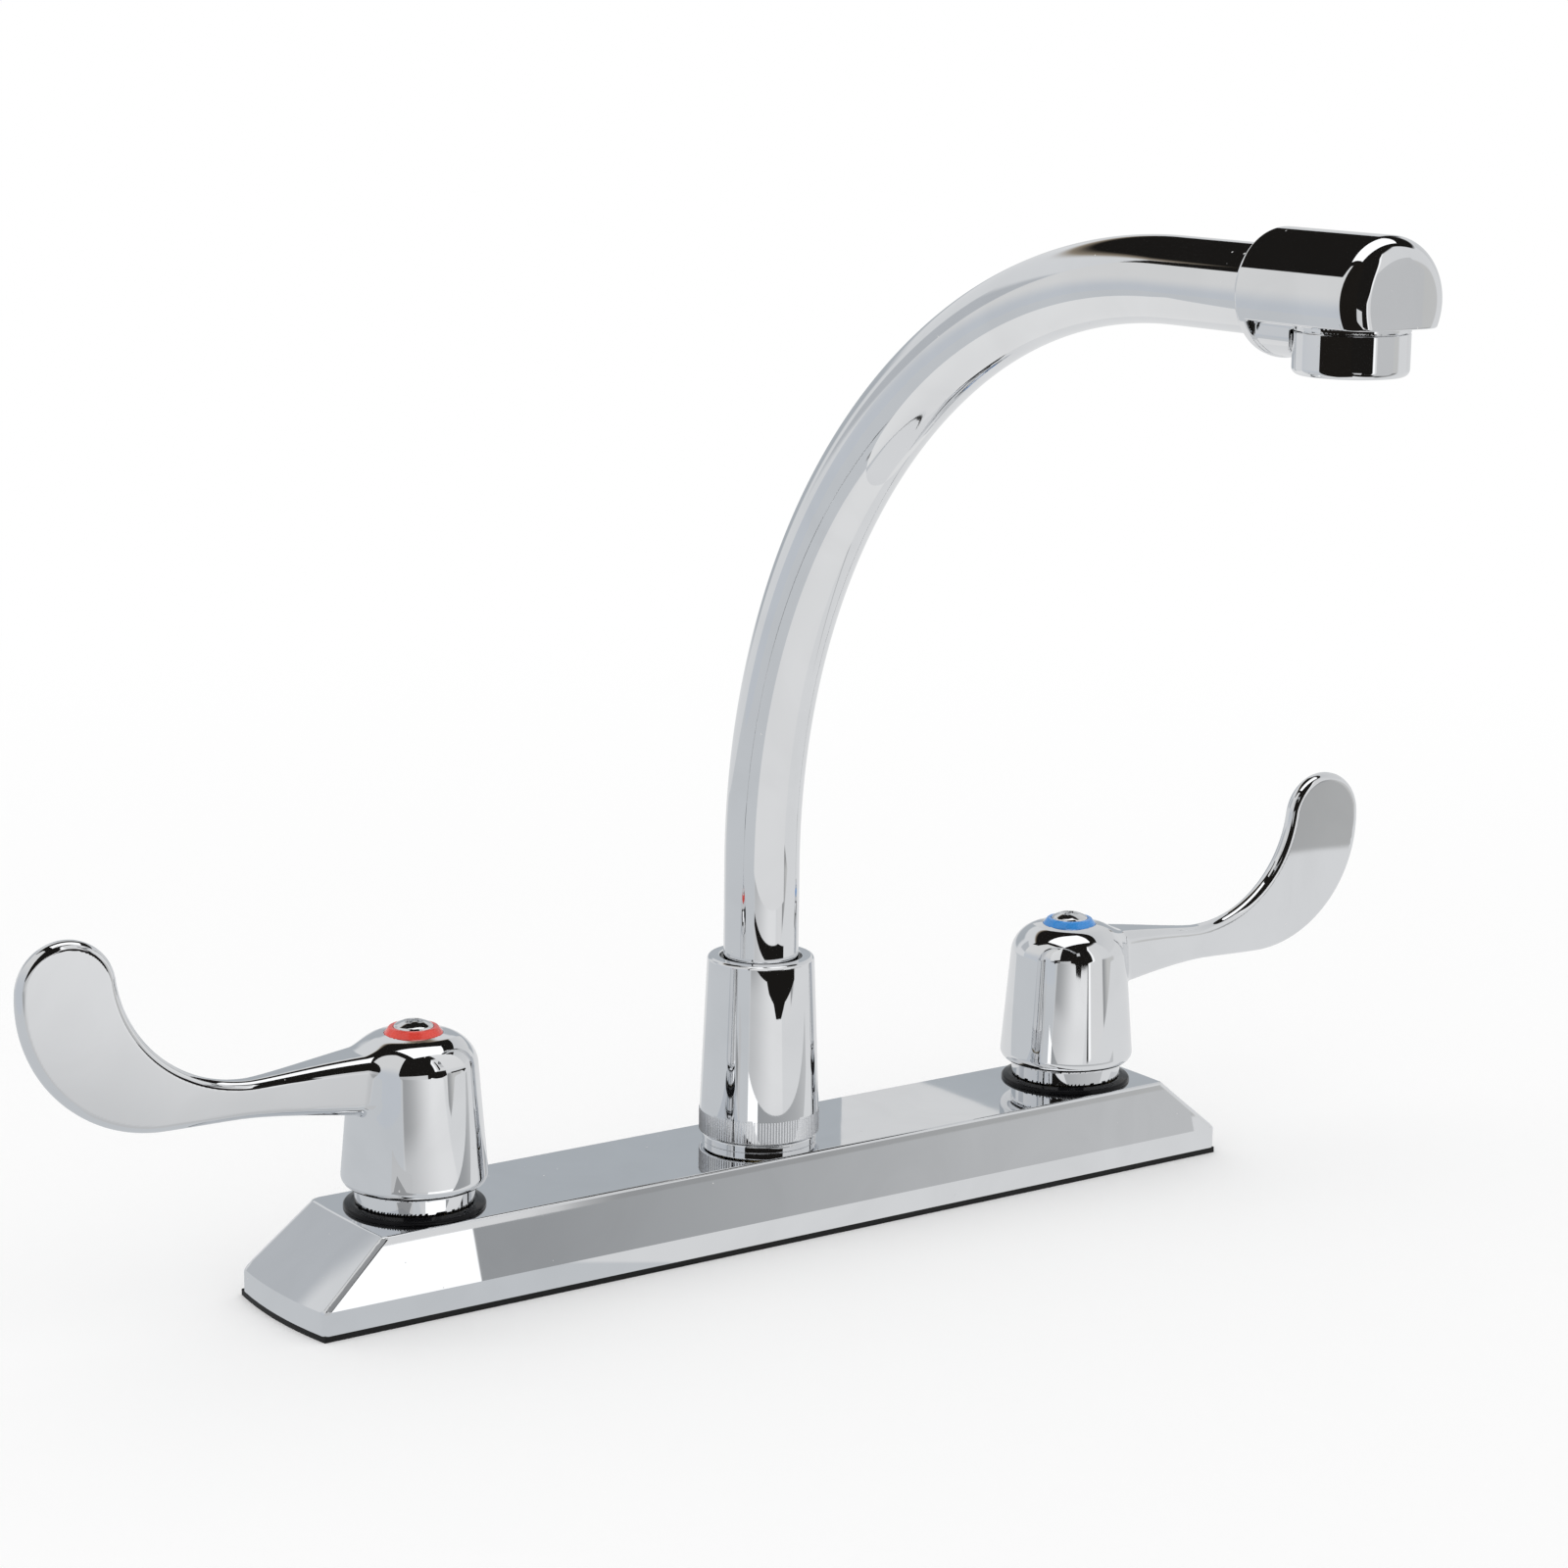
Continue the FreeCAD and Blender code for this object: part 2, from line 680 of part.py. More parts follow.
def spout_hub_body():
    """Brass body in the middle: side sockets for the crossover tubes and a tall threaded neck."""
    bore = bushing_radius + running_clearance
    body = cylinder(spout_flange_radius, gasket_thickness, gasket_thickness + body_flange_thickness)
    body = body.fuse(cylinder(spout_body_radius, gasket_thickness, plate_ceiling))
    body = body.fuse(cylinder(spout_neck_radius, gasket_thickness, spout_body_top))
    boss, opening = crossover_socket(spout_chamber_radius)
    for side in (0.0, 180.0):
        body = body.fuse(moved(boss, angle=side))
    body = body.cut(cylinder(spout_chamber_radius, spout_chamber_floor, tube_foot))
    body = body.cut(cylinder(bore, tube_foot - running_clearance, spout_body_top))
    for side in (0.0, 180.0):
        body = body.cut(moved(opening, angle=side))
    return body.removeSplitter()


def spout_base_ring():
    """Thin ring under the sleeve nut, which holds the plate down in the middle."""
    top = plate_top + spout_base_ring_height
    nut = ring(spout_base_ring_radius, spout_neck_radius + slip_clearance, plate_top, top)
    return rounded(nut, base_ring_round, lambda edge: is_rim(edge, spout_base_ring_radius))


def spout_nut():
    """Tapered sleeve nut with a fine straight knurl at its foot and a lip over the bushing."""
    knurl_top = nut_low + knurl_height
    taper_radius = nut_foot_radius - knurl_depth
    outline = [(0, knurl_top), (taper_radius, knurl_top), (nut_top_radius, nut_top), (0, nut_top)]
    nut = rounded(turned(outline), nut_top_round, lambda edge: is_rim(edge, nut_top_radius))
    teeth = polygon_corners(nut_foot_radius, knurl_teeth, taper_radius)
    nut = nut.fuse(prism(teeth, nut_low, knurl_top))
    nut = nut.cut(cylinder(nut_bore_radius, nut_low, nut_top - nut_lip_thickness))
    return nut.cut(cylinder(nut_hole_radius, nut_low, nut_top))


def bent_tube(radius):
    """Solid rod along the spout's middle line: up, two bends, then level towards the user."""
    angle = math.radians(lower_bend_angle)
    upper_rise = upper_bend_radius * (1 - math.sin(angle))
    straight_top = spout_rise - upper_rise - lower_bend_radius * math.sin(angle)
    lower_end = point(0, -lower_bend_radius * (1 - math.cos(angle)), spout_rise - upper_rise)
    upper_end = point(0, lower_end.y - upper_bend_radius * math.cos(angle), spout_rise)
    tube_end = point(0, -spout_reach + head_rear_length - head_tube_depth, spout_rise)
    upright = cylinder(radius, tube_foot, straight_top)
    lower_disc = Part.Face(Part.Wire(Part.makeCircle(radius, point(0, 0, straight_top), point(0, 0, 1))))
    lower = lower_disc.revolve(point(0, -lower_bend_radius, straight_top), point(1, 0, 0), lower_bend_angle)
    direction = point(0, -math.sin(angle), math.cos(angle))
    upper_disc = Part.Face(Part.Wire(Part.makeCircle(radius, lower_end, direction)))
    upper = upper_disc.revolve(point(0, upper_end.y, spout_rise - upper_bend_radius), point(1, 0, 0),
                               90 - lower_bend_angle)
    level = Part.makeCylinder(radius, upper_end.y - tube_end.y, upper_end, point(0, -1, 0))
    return upright.fuse([lower, upper, level]).removeSplitter()


def spout_tube():
    return bent_tube(tube_radius).cut(bent_tube(tube_radius - tube_wall))


def spout_bushing():
    """Turned bushing brazed to the foot of the tube, with a collar that the nut's lip keeps down."""
    collar_low = spout_body_top + slip_clearance
    bushing = ring(bushing_radius, tube_radius, tube_foot, bushing_top)
    bushing = bushing.fuse(ring(bushing_collar_radius, tube_radius, collar_low, bushing_top))
    for height in bushing_ring_heights:
        middle = tube_foot + height
        bushing = bushing.cut(ring(bushing_radius + cut_margin, bushing_radius - bushing_ring_depth,
                                   middle - bushing_ring_depth / 2, middle + bushing_ring_depth / 2))
    return bushing.removeSplitter()


def spout_o_rings():
    """Two O-rings in the bushing's grooves."""
    heights = [tube_foot + height for height in bushing_ring_heights]
    return Part.makeCompound([o_ring(bushing_radius, bushing_ring_depth, height) for height in heights])


def spout_thrust_washer():
    """Plastic washer between the bushing's collar and the nut's lip."""
    low = bushing_top + slip_clearance
    return ring(bushing_collar_radius, tube_radius + running_clearance, low, low + thrust_washer_thickness)


def lying_cylinder(radius, rear, front, height):
    """Cylinder along the spout's reach, between two distances from the spout's axis."""
    return Part.makeCylinder(radius, front - rear, point(0, -rear, height), point(0, -1, 0))


def spout_head():
    """Outlet body: a lying cylinder whose lower front is cut level, with a boss for the aerator."""
    rear = spout_reach - head_rear_length
    front = spout_reach + head_front_length
    disc_front = rear + head_disc_length
    head = lying_cylinder(head_radius, rear, front, spout_rise)
    head = head.makeFillet(head_front_round, [edge for edge in head.Edges if is_cap(edge, -front)])
    head = head.makeFillet(head_rear_round, [edge for edge in head.Edges if is_cap(edge, -rear)])
    cut_height = shelf_height - spout_rise + head_radius
    lower_front = Part.makeBox(2 * head_radius, front - disc_front, cut_height,
                               point(-head_radius, -front, spout_rise - head_radius))
    head = head.cut(lower_front)
    belly = lying_cylinder(head_radius, disc_front, spout_reach, spout_rise)
    belly_box = Part.makeBox(2 * head_belly_half_width, spout_reach - disc_front, head_radius,
                             point(-head_belly_half_width, -spout_reach, spout_rise - head_radius))
    head = head.fuse(belly.common(belly_box))
    boss_low = shelf_height - outlet_boss_height
    space_radius = aerator_radius + hole_clearance
    head = head.cut(cylinder(space_radius, spout_rise - 2 * head_radius, boss_low, 0, -spout_reach))
    head = head.fuse(cylinder(outlet_boss_radius, boss_low, spout_rise, 0, -spout_reach))
    head = head.cut(lying_cylinder(tube_radius + slip_clearance, rear, rear + head_tube_depth, spout_rise))
    head = head.cut(lying_cylinder(tube_radius - tube_wall, rear, spout_reach, spout_rise))
    thread_top = aerator_thread_top + aerator_washer_thickness
    thread = cylinder(aerator_thread_radius + slip_clearance, boss_low, thread_top, 0, -spout_reach)
    head = head.cut(thread)
    water_way = cylinder(aerator_washer_hole_radius, thread_top, spout_rise, 0, -spout_reach)
    return head.cut(water_way).removeSplitter()


def is_cap(edge, place):
    """True for a circle that lies square to the reach at this place."""
    box = edge.BoundBox
    return abs(box.YMin - place) < match_tolerance and abs(box.YMax - place) < match_tolerance


def at_outlet(shape):
    """Copy moved from the spout's axis to the outlet's."""
    return moved(shape, y=-spout_reach)


def aerator_housing():
    """Cup with a male thread above and an inward lip below."""
    cup = cylinder(aerator_radius, aerator_low, aerator_top)
    cup = rounded(cup, aerator_round, lambda edge: lies_at(edge, aerator_low))
    cup = cup.fuse(cylinder(aerator_thread_radius, aerator_low + aerator_round, aerator_thread_top))
    cup = cup.cut(cylinder(aerator_bore_radius, aerator_low + aerator_lip, aerator_thread_top))
    return at_outlet(cup.cut(cylinder(aerator_bore_radius - aerator_lip, aerator_low, aerator_thread_top)))


def aerator_washer():
    top = aerator_thread_top + aerator_washer_thickness
    outer_radius = aerator_thread_radius - slip_clearance
    return at_outlet(ring(outer_radius, aerator_washer_hole_radius, aerator_thread_top, top))


def hole_field(hole_radius, spacing, field_radius, low, high):
    """Upright holes on a six-sided pattern, all inside one circle."""
    rows = int(field_radius / spacing) + 1
    holes = []
    for row in range(-rows, rows + 1):
        y = row * spacing * math.sqrt(0.75)
        for column in range(-rows, rows + 1):
            x = (column + 0.5 * (row % 2)) * spacing
            if math.hypot(x, y) < field_radius - hole_radius:
                holes.append(cylinder(hole_radius, low, high, x, y))
    return holes


def aerator_screen():
    """Outlet grid that rests on the cup's lip."""
    low = aerator_low + aerator_lip
    top = low + screen_thickness
    disc = cylinder(aerator_bore_radius - slip_clearance, low, top)
    field = aerator_bore_radius - aerator_lip
    return at_outlet(disc.cut(hole_field(screen_hole_radius, screen_hole_spacing, field, low, top)))


def aerator_insert():
    """Flow straightener above the screen."""
    low = aerator_low + aerator_lip + screen_thickness
    top = low + insert_height
    disc = cylinder(aerator_bore_radius - slip_clearance, low, top)
    field = aerator_bore_radius - aerator_lip
    return at_outlet(disc.cut(hole_field(insert_hole_radius, insert_hole_spacing, field, low, top)))


os.makedirs("parts", exist_ok=True)

# Each valve and handle is made once about the origin and placed on both sides.
side_pieces = {
    "valve_body": valve_body(),
    "shank_washer": shank_washer(),
    "locknut": locknut(),
    "base_ring": base_ring(),
    "cartridge_housing": cartridge_housing(),
    "seat_seal": seat_seal(),
    "fixed_disc": fixed_disc(),
    "moving_disc": moving_disc(),
    "stem": stem(),
    "stem_o_rings": stem_o_rings(),
    "retaining_clip": retaining_clip(),
    "handle": handle(),
    "index_ring": index_ring(),
    "handle_screw": handle_screw(),
}
turning_pieces = ("moving_disc", "stem", "stem_o_rings", "retaining_clip", "handle", "index_ring",
                  "handle_screw")

for piece_name, piece in side_pieces.items():
    turns = piece_name in turning_pieces
    inward = 180.0 if piece_name == "valve_body" else 0.0
    hot_angle = 180.0 - inward + turns * hot_handle_set_angle
    cold_angle = inward + turns * cold_handle_set_angle
    save(moved(piece, x=-half_spacing, angle=hot_angle), "hot_" + piece_name)
    save(moved(piece, x=half_spacing, angle=cold_angle), "cold_" + piece_name)

save(moved(crossover_tube(), angle=180.0), "hot_crossover_tube")
save(crossover_tube(), "cold_crossover_tube")
save(deck_plate(), "deck_plate")
save(deck_gasket(), "deck_gasket")
save(spout_hub_body(), "spout_hub_body")
save(spout_base_ring(), "spout_base_ring")
save(spout_nut(), "spout_nut")
save(spout_tube(), "spout_tube")
save(spout_bushing(), "spout_bushing")
save(spout_o_rings(), "spout_o_rings")
save(spout_thrust_washer(), "spout_thrust_washer")
save(spout_head(), "spout_head")
save(aerator_housing(), "aerator_housing")
save(aerator_washer(), "aerator_washer")
save(aerator_screen(), "aerator_screen")
save(aerator_insert(), "aerator_insert")
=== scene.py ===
import math

import bpy
import numpy as np
from mathutils import Matrix, Vector


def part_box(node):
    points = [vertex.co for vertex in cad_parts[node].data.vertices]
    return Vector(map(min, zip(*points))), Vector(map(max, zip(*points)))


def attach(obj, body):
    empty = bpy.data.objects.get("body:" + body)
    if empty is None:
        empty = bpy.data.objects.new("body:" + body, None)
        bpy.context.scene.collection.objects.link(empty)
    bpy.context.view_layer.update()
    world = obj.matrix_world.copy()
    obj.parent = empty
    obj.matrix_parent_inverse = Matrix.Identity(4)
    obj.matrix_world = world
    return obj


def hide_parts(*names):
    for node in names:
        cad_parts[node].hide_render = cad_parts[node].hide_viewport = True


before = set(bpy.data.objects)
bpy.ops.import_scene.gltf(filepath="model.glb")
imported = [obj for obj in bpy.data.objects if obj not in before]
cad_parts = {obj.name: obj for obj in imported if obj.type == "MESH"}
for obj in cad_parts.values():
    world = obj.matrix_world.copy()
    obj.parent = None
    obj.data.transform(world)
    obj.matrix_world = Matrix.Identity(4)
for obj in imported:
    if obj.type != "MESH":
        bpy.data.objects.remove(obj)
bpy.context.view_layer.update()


# The photograph's viewpoint
# A long lens, low and to the left of the faucet, turned a little clockwise.
camera_azimuth = math.radians(-35.303)
camera_distance = 0.958416
camera_height = 0.313501
camera_heading = math.radians(-35.621)
camera_pitch = math.radians(11.730)
camera_roll = math.radians(0.727)
camera_data = bpy.data.cameras.new("view")
camera_data.lens = 89.31
camera_data.sensor_width = 36.0
camera_data.clip_start = 0.01
camera = bpy.data.objects.new("view", camera_data)
turn = (Matrix.Rotation(camera_heading, 4, "Z") @ Matrix.Rotation(math.pi / 2 - camera_pitch, 4, "X")
        @ Matrix.Rotation(camera_roll, 4, "Z"))
place = (camera_distance * math.sin(camera_azimuth), -camera_distance * math.cos(camera_azimuth), camera_height)
camera.matrix_world = Matrix.Translation(place) @ turn
bpy.context.scene.collection.objects.link(camera)
bpy.context.scene.camera = camera
bpy.context.scene.view_settings.view_transform = "Standard"


# Studio surroundings
# A tent of even light, open to a dark room in front and above, with a white panel, white and grey
# cards round the faucet and a soft box overhead. Only polished metal shows them; all the rest is
# lit evenly.
class Field:
    """One output in a node tree, so that shader maths reads as plain expressions."""

    def __init__(self, tree, socket):
        self.tree = tree
        self.socket = socket

    def maths(self, operation, *others):
        sockets = dict(enumerate((self,) + others))
        return self.tree.node("Math", {"operation": operation}, sockets)

    def __add__(self, other):
        return self.maths("ADD", other)

    def __sub__(self, other):
        return self.maths("SUBTRACT", other)

    def __rsub__(self, other):
        return self.tree.node("Math", {"operation": "SUBTRACT"}, {0: other, 1: self})

    def __mul__(self, other):
        return self.maths("MULTIPLY", other)

    def __pow__(self, other):
        return self.maths("POWER", other)

    __radd__ = __add__

    def step(self, low, high):
        """Smooth rise from 0 to 1 between two values, or fall where low is above high."""
        return self.tree.node("MapRange", {"interpolation_type": "SMOOTHSTEP"},
                              {"Value": self, "From Min": low, "From Max": high})

    def between(self, low, high, soft):
        """1 between two values and 0 outside, with soft edges."""
        return self.step(low - soft, low + soft) * (1.0 - self.step(high - soft, high + soft))


class Tree:
    """The nodes of one material or of the world."""

    def __init__(self, owner):
        owner.use_nodes = True
        self.nodes = owner.node_tree.nodes
        self.links = owner.node_tree.links
        self.nodes.clear()

    def feed(self, socket, value):
        if isinstance(value, Field):
            self.links.new(value.socket, socket)
        elif isinstance(value, tuple) and len(value) == 3 and socket.type == "RGBA":
            socket.default_value = value + (1.0,)
        else:
            socket.default_value = value

    def node(self, kind, settings=None, sockets=None, output=0):
        made = self.nodes.new("ShaderNode" + kind)
        for name, value in (settings or {}).items():
            setattr(made, name, value)
        for name, value in (sockets or {}).items():
            self.feed(made.inputs[name], value)
        return Field(self, made.outputs[output])

    def mix(self, factor, first, second):
        """Colour between two colours."""
        return self.node("Mix", {"data_type": "RGBA"}, {0: factor, 6: first, 7: second}, 2)

    def blend(self, factor, first, second):
        """Shader between two shaders."""
        return self.node("MixShader", {}, {0: factor, 1: first, 2: second})

    def axes(self, vector):
        return [self.node("SeparateXYZ", {}, {0: vector}, axis) for axis in range(3)]

    def finish(self, shader, kind="OutputMaterial"):
        end = self.nodes.new("ShaderNode" + kind)
        self.links.new(shader.socket, end.inputs["Surface"])


def round_about(tree, across, ahead):
    """Direction about the vertical in degrees: 0 towards the user, positive to the right."""
    return tree.node("Math", {"operation": "ARCTAN2"}, {0: across, 1: 0.0 - ahead}) * (180 / math.pi)


def mirrored_in(tree):
    """1 for rays from polished or clear material, 0 for what is seen or lit directly."""
    return tree.node("LightPath", output="Is Glossy Ray").maths(
        "MAXIMUM", tree.node("LightPath", output="Is Transmission Ray"))


tent_light = (0.78, 0.785, 0.79)
card_grey = (0.35, 0.355, 0.36)
card_low = (0.33, 0.33, 0.33)
card_light = (0.63, 0.63, 0.62)
panel_white = (1.2, 1.2, 1.2)
panel_pale = (0.80, 0.80, 0.80)
room_dark = (0.012, 0.011, 0.010)
panel_start = 9.5
panel_lean = 10.0
tent_start = 30.0
tent_end = 150.0
ceiling_start = 53.0
ceiling_dip = 24.0
world = bpy.data.worlds.new("studio")
bpy.context.scene.world = world
air = Tree(world)
across, ahead, upward = air.axes(air.node("TexCoord", output=0))
azimuth = round_about(air, across, ahead)
elevation = upward.maths("ARCSINE") * (180 / math.pi)
card = air.mix(azimuth.step(31, 45), card_grey, card_light)
card = air.mix(elevation.step(-15, -12.5), card_low, card)
card = air.mix(elevation.step(3, 9), card, tent_light)
card = air.mix(azimuth.step(58, 64), card, tent_light)
panel_left = elevation.step(-4, 5) * panel_start + elevation.step(45, 60) * panel_lean
into_panel = azimuth - panel_left
panel = air.mix(into_panel.step(2.5, 6), panel_white, panel_pale)
room = air.mix(into_panel.step(-1, 1), room_dark, panel)
room = air.mix(azimuth.step(tent_start, tent_start + 1.5), room, card)
room = air.mix(azimuth.step(tent_end - 1, tent_end + 1), room, room_dark)
ceiling = (elevation + azimuth.step(55, 80) * ceiling_dip).step(ceiling_start, ceiling_start + 5)
room = air.mix(ceiling, room, room_dark)
seen = air.node("Background", {}, {"Color": room, "Strength": 1.0})
plain = air.node("Background", {}, {"Color": (1.0, 1.0, 1.0), "Strength": 1.0})
air.finish(air.blend(mirrored_in(air), plain, seen), "OutputWorld")


def glowing(name, make):
    """A lit card's face, its colour made from the place on it."""
    material = bpy.data.materials.new(name)
    tree = Tree(material)
    place = tree.axes(tree.node("TexCoord", output="Object"))
    tree.finish(tree.node("Emission", {}, {"Color": make(tree, *place)}))
    material.cycles.emission_sampling = "NONE"
    return material


def reflector(name, corners, face):
    """A flat card beside the faucet. Only polished metal shows it."""
    data = bpy.data.meshes.new(name)
    data.from_pydata(corners, [], [tuple(range(len(corners)))])
    data.materials.append(face)
    sheet = bpy.data.objects.new(name, data)
    bpy.context.scene.collection.objects.link(sheet)
    sheet.visible_camera = False
    sheet.visible_diffuse = False
    sheet.visible_shadow = False


def card_ahead(name, y, outline, face):
    """A card that looks along y, from the points of its outline across and up."""
    reflector(name, [(x, y, z) for x, z in outline], face)


def card_beside(name, x, outline, face):
    """A card that looks along x, from the points of its outline in depth and up."""
    reflector(name, [(x, y, z) for y, z in outline], face)


def oblong(left, right, low, high):
    return [(left, low), (right, low), (right, high), (left, high)]


def shaded(axis, low, high, first, second):
    """Face that runs from one colour to another along x, y or z."""
    return lambda tree, *place: tree.mix(place["xyz".index(axis)].step(low, high), first, second)


def back_face(tree, x, y, z):
    """Grey with two darker patches, brown and then black towards the top."""
    low = tree.mix(x.between(-0.02, 1.5, 0.05) * z.between(0.09, 0.34, 0.03),
                   (0.76, 0.77, 0.78), (0.46, 0.49, 0.52))
    low = tree.mix(x.between(-0.43, -0.16, 0.02) * z.between(0.20, 0.47, 0.03), low, (0.53, 0.55, 0.575))
    fade = (z + x * 0.25).step(0.60, 0.80)
    brown = tree.mix(fade.step(0.2, 0.75), (0.32, 0.27, 0.21), room_dark)
    return tree.mix(fade.step(0.0, 0.35), low, brown)


def plate_face(tree, x, y, z):
    """Grey, with a white end that the plate's front slope shows on the left."""
    strip = tree.mix(x.step(-0.08, 0.17), (0.35, 0.36, 0.37), (0.60, 0.605, 0.61))
    return tree.mix(x.step(-0.0624, -0.0618), (1.3, 1.3, 1.3), strip)


black_card = glowing("black_card", shaded("z", 0.0, 0.4, room_dark, (0.014, 0.012, 0.010)))
white_card = glowing("white_card", shaded("z", 0.0, 2.0, (1.3, 1.3, 1.3), (1.35, 1.35, 1.35)))
left_card = glowing("left_card", shaded("z", 0.08, 0.32, (0.61, 0.64, 0.68), (0.77, 0.77, 0.765)))
back_card = glowing("back_card", back_face)
kerb_card = glowing("kerb_card", shaded("x", -0.75, -0.2, (0.5, 0.505, 0.51), (0.72, 0.72, 0.72)))
tube_card = glowing("tube_card", shaded("z", 0.07, 0.2, (0.83, 0.83, 0.83), (0.88, 0.88, 0.875)))
plate_card = glowing("plate_card", plate_face)
edge_card = glowing("edge_card", shaded("z", 0.01, 0.03, (0.30, 0.305, 0.31), (0.36, 0.365, 0.37)))
right_card = glowing("right_card", shaded("z", 0.16, 0.46, (0.74, 0.745, 0.75), (0.68, 0.69, 0.70)))
nose_card = glowing("nose_card", shaded("z", 0.24, 0.29, (0.61, 0.615, 0.62), (0.63, 0.635, 0.64)))

card_beside("card_left", -0.43, [(-0.26, -0.02), (-0.22, 0.15), (-0.22, 0.9), (0.2, 0.9), (0.35, 0.62),
                                 (0.6, 0.64), (0.6, -0.02)], left_card)
card_ahead("card_back", 0.6, [(-0.43, -0.02), (-0.43, 1.1), (1.2, 1.1), (1.2, -0.02)], back_card)
reflector("card_above", [(-0.25, -0.26, 0.8), (0.40, -0.26, 0.8), (0.40, 0.22, 0.8), (-0.25, 0.22, 0.8)],
          white_card)
card_ahead("card_front", -0.6, oblong(-1.0, -0.16, -0.02, 0.17), kerb_card)
card_ahead("card_stem", -0.33, [(-0.05, 0.024), (0.01, 0.024), (0.08, 0.06), (0.08, 0.17), (-0.13, 0.17),
                                (-0.13, 0.06)], black_card)
card_ahead("card_sleeve", -0.05, [(-0.006, 0.05), (0.002, 0.05), (0.009, 0.054), (0.032, 0.0575),
                                  (0.032, 0.0615), (0.012, 0.0645), (-0.072, 0.0645), (-0.072, 0.061),
                                  (-0.022, 0.0595), (-0.018, 0.0565), (-0.010, 0.054)], black_card)
card_ahead("card_tube", -0.05, oblong(-0.08, 0.03, 0.074, 0.185), tube_card)
card_ahead("card_plate", -0.08, oblong(-0.118, 0.18, -0.002, 0.018), plate_card)
card_ahead("card_corner", -0.043, oblong(-0.185, -0.1295, -0.002, 0.030), nose_card)
reflector("card_edge", [(-0.1170, -0.0295, 0.0242), (-0.1345, -0.0320, 0.0091), (-0.1434, -0.0231, 0.0175),
                        (-0.1260, -0.0206, 0.0324)], edge_card)
card_beside("card_right", 0.36, oblong(-0.20, 0.45, 0.16, 0.46), right_card)
card_beside("card_nose_side", -0.03, [(-0.244, 0.15), (-0.2025, 0.15), (-0.2025, 0.30), (-0.237, 0.30),
                                      (-0.237, 0.236), (-0.244, 0.226)], black_card)
card_ahead("card_nose_front", -0.25, [(0.001, 0.20), (0.035, 0.20), (0.035, 0.27), (0.001, 0.266)],
           nose_card)


# Paper floor
# A sheet of white paper that the faucet stands on, lit evenly and fading into the white around it.
# Polished metal shows it with painted shade and light: a grey wedge towards the user, and lighter beside and
# behind.
floor_radius = 1.25
wedge_left = -56
wedge_right = 9
wedge_near = 0.35
wedge_far = 0.45
near_light = (0.79, 0.795, 0.80)
bpy.ops.mesh.primitive_circle_add(vertices=96, radius=floor_radius, fill_type="NGON")
floor = bpy.context.object
floor.name = "floor"
paper = bpy.data.materials.new("paper")
sheet = Tree(paper)
spread, depth, _ = sheet.axes(sheet.node("TexCoord", output="Object"))
away = (spread * spread + depth * depth) ** 0.5
facing = round_about(sheet, spread, depth)
grain = sheet.node("TexNoise", {}, {"Scale": 3.0, "Detail": 2.0})
paper_white = sheet.mix(grain, (0.975, 0.975, 0.975), (0.99, 0.99, 0.99))
lit = sheet.node("BsdfDiffuse", {}, {"Color": paper_white})
white = sheet.node("Emission", {}, {"Color": (1.0, 1.0, 1.0)})
farther = away.step(wedge_near, wedge_far)
# Painted shade seen only in polished metal: the wedge is darkest along its left side, more so further out, and
# paler towards its middle.
wedge_edge = sheet.mix(farther, (0.62, 0.625, 0.63), (0.40, 0.405, 0.41))
wedge_middle = sheet.mix(farther, (0.88, 0.88, 0.88), (0.92, 0.92, 0.92))
front_grey = sheet.mix(facing.step(-55, -8), wedge_edge, wedge_middle)
side_light = sheet.mix(facing.step(-58, -55), (0.63, 0.65, 0.67), near_light)
in_wedge = facing.between(wedge_left, wedge_right, 1.5) * away.step(0.12, 0.2)
table = sheet.mix(in_wedge, side_light, front_grey)
beyond = (spread.step(0.075, 0.085) * (1.0 - depth.step(-0.285, -0.275))).maths(
    "MAXIMUM", 1.0 - depth.step(-0.63, -0.62))
mirror_view = sheet.blend(beyond, sheet.node("Emission", {}, {"Color": table}),
                          sheet.node("BsdfTransparent"))
floor_look = sheet.blend(away.step(0.35, 0.95), lit, white)
sheet.finish(sheet.blend(mirrored_in(sheet), floor_look, mirror_view))
paper.cycles.emission_sampling = "NONE"
floor.data.materials.append(paper)


# Deck gasket
# A black rubber sheet cut to the plate's outline. It keeps water off the deck and shows as a
# thin black line under the plate.
def rubber(name, colour, roughness, grain):
    """Moulded or cut rubber: matt, with a fine grain and a little dust."""
    material = bpy.data.materials.new(name)
    tree = Tree(material)
    where = tree.node("TexCoord", output="Object")
    fine = tree.node("TexNoise", {}, {"Vector": where, "Scale": grain, "Detail": 5.0})
    broad = tree.node("TexNoise", {}, {"Vector": where, "Scale": grain / 30, "Detail": 2.0})
    dusty = tuple(min(1.0, 1.8 * part + 0.003) for part in colour)
    tint = tree.mix(broad.step(0.45, 0.8) * 0.5, colour, dusty)
    bump = tree.node("Bump", {}, {"Height": fine, "Strength": 0.35, "Distance": 0.0001})
    tree.finish(tree.node("BsdfPrincipled", {}, {
        "Base Color": tint, "Roughness": roughness + fine * 0.15, "Normal": bump, "Specular IOR Level": 0.2}))
    return material


black_rubber = rubber("black_rubber", (0.008, 0.008, 0.008), 0.5, 2600.0)


def dress(material, *nodes):
    """Give CAD pieces their finish."""
    for node in nodes:
        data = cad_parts[node].data
        data.materials.clear()
        data.materials.append(material)


sides = ("hot", "cold")
dress(black_rubber, "deck_gasket", "spout_o_rings", "aerator_washer")
for side in sides:
    dress(black_rubber, side + "_seat_seal", side + "_stem_o_rings")


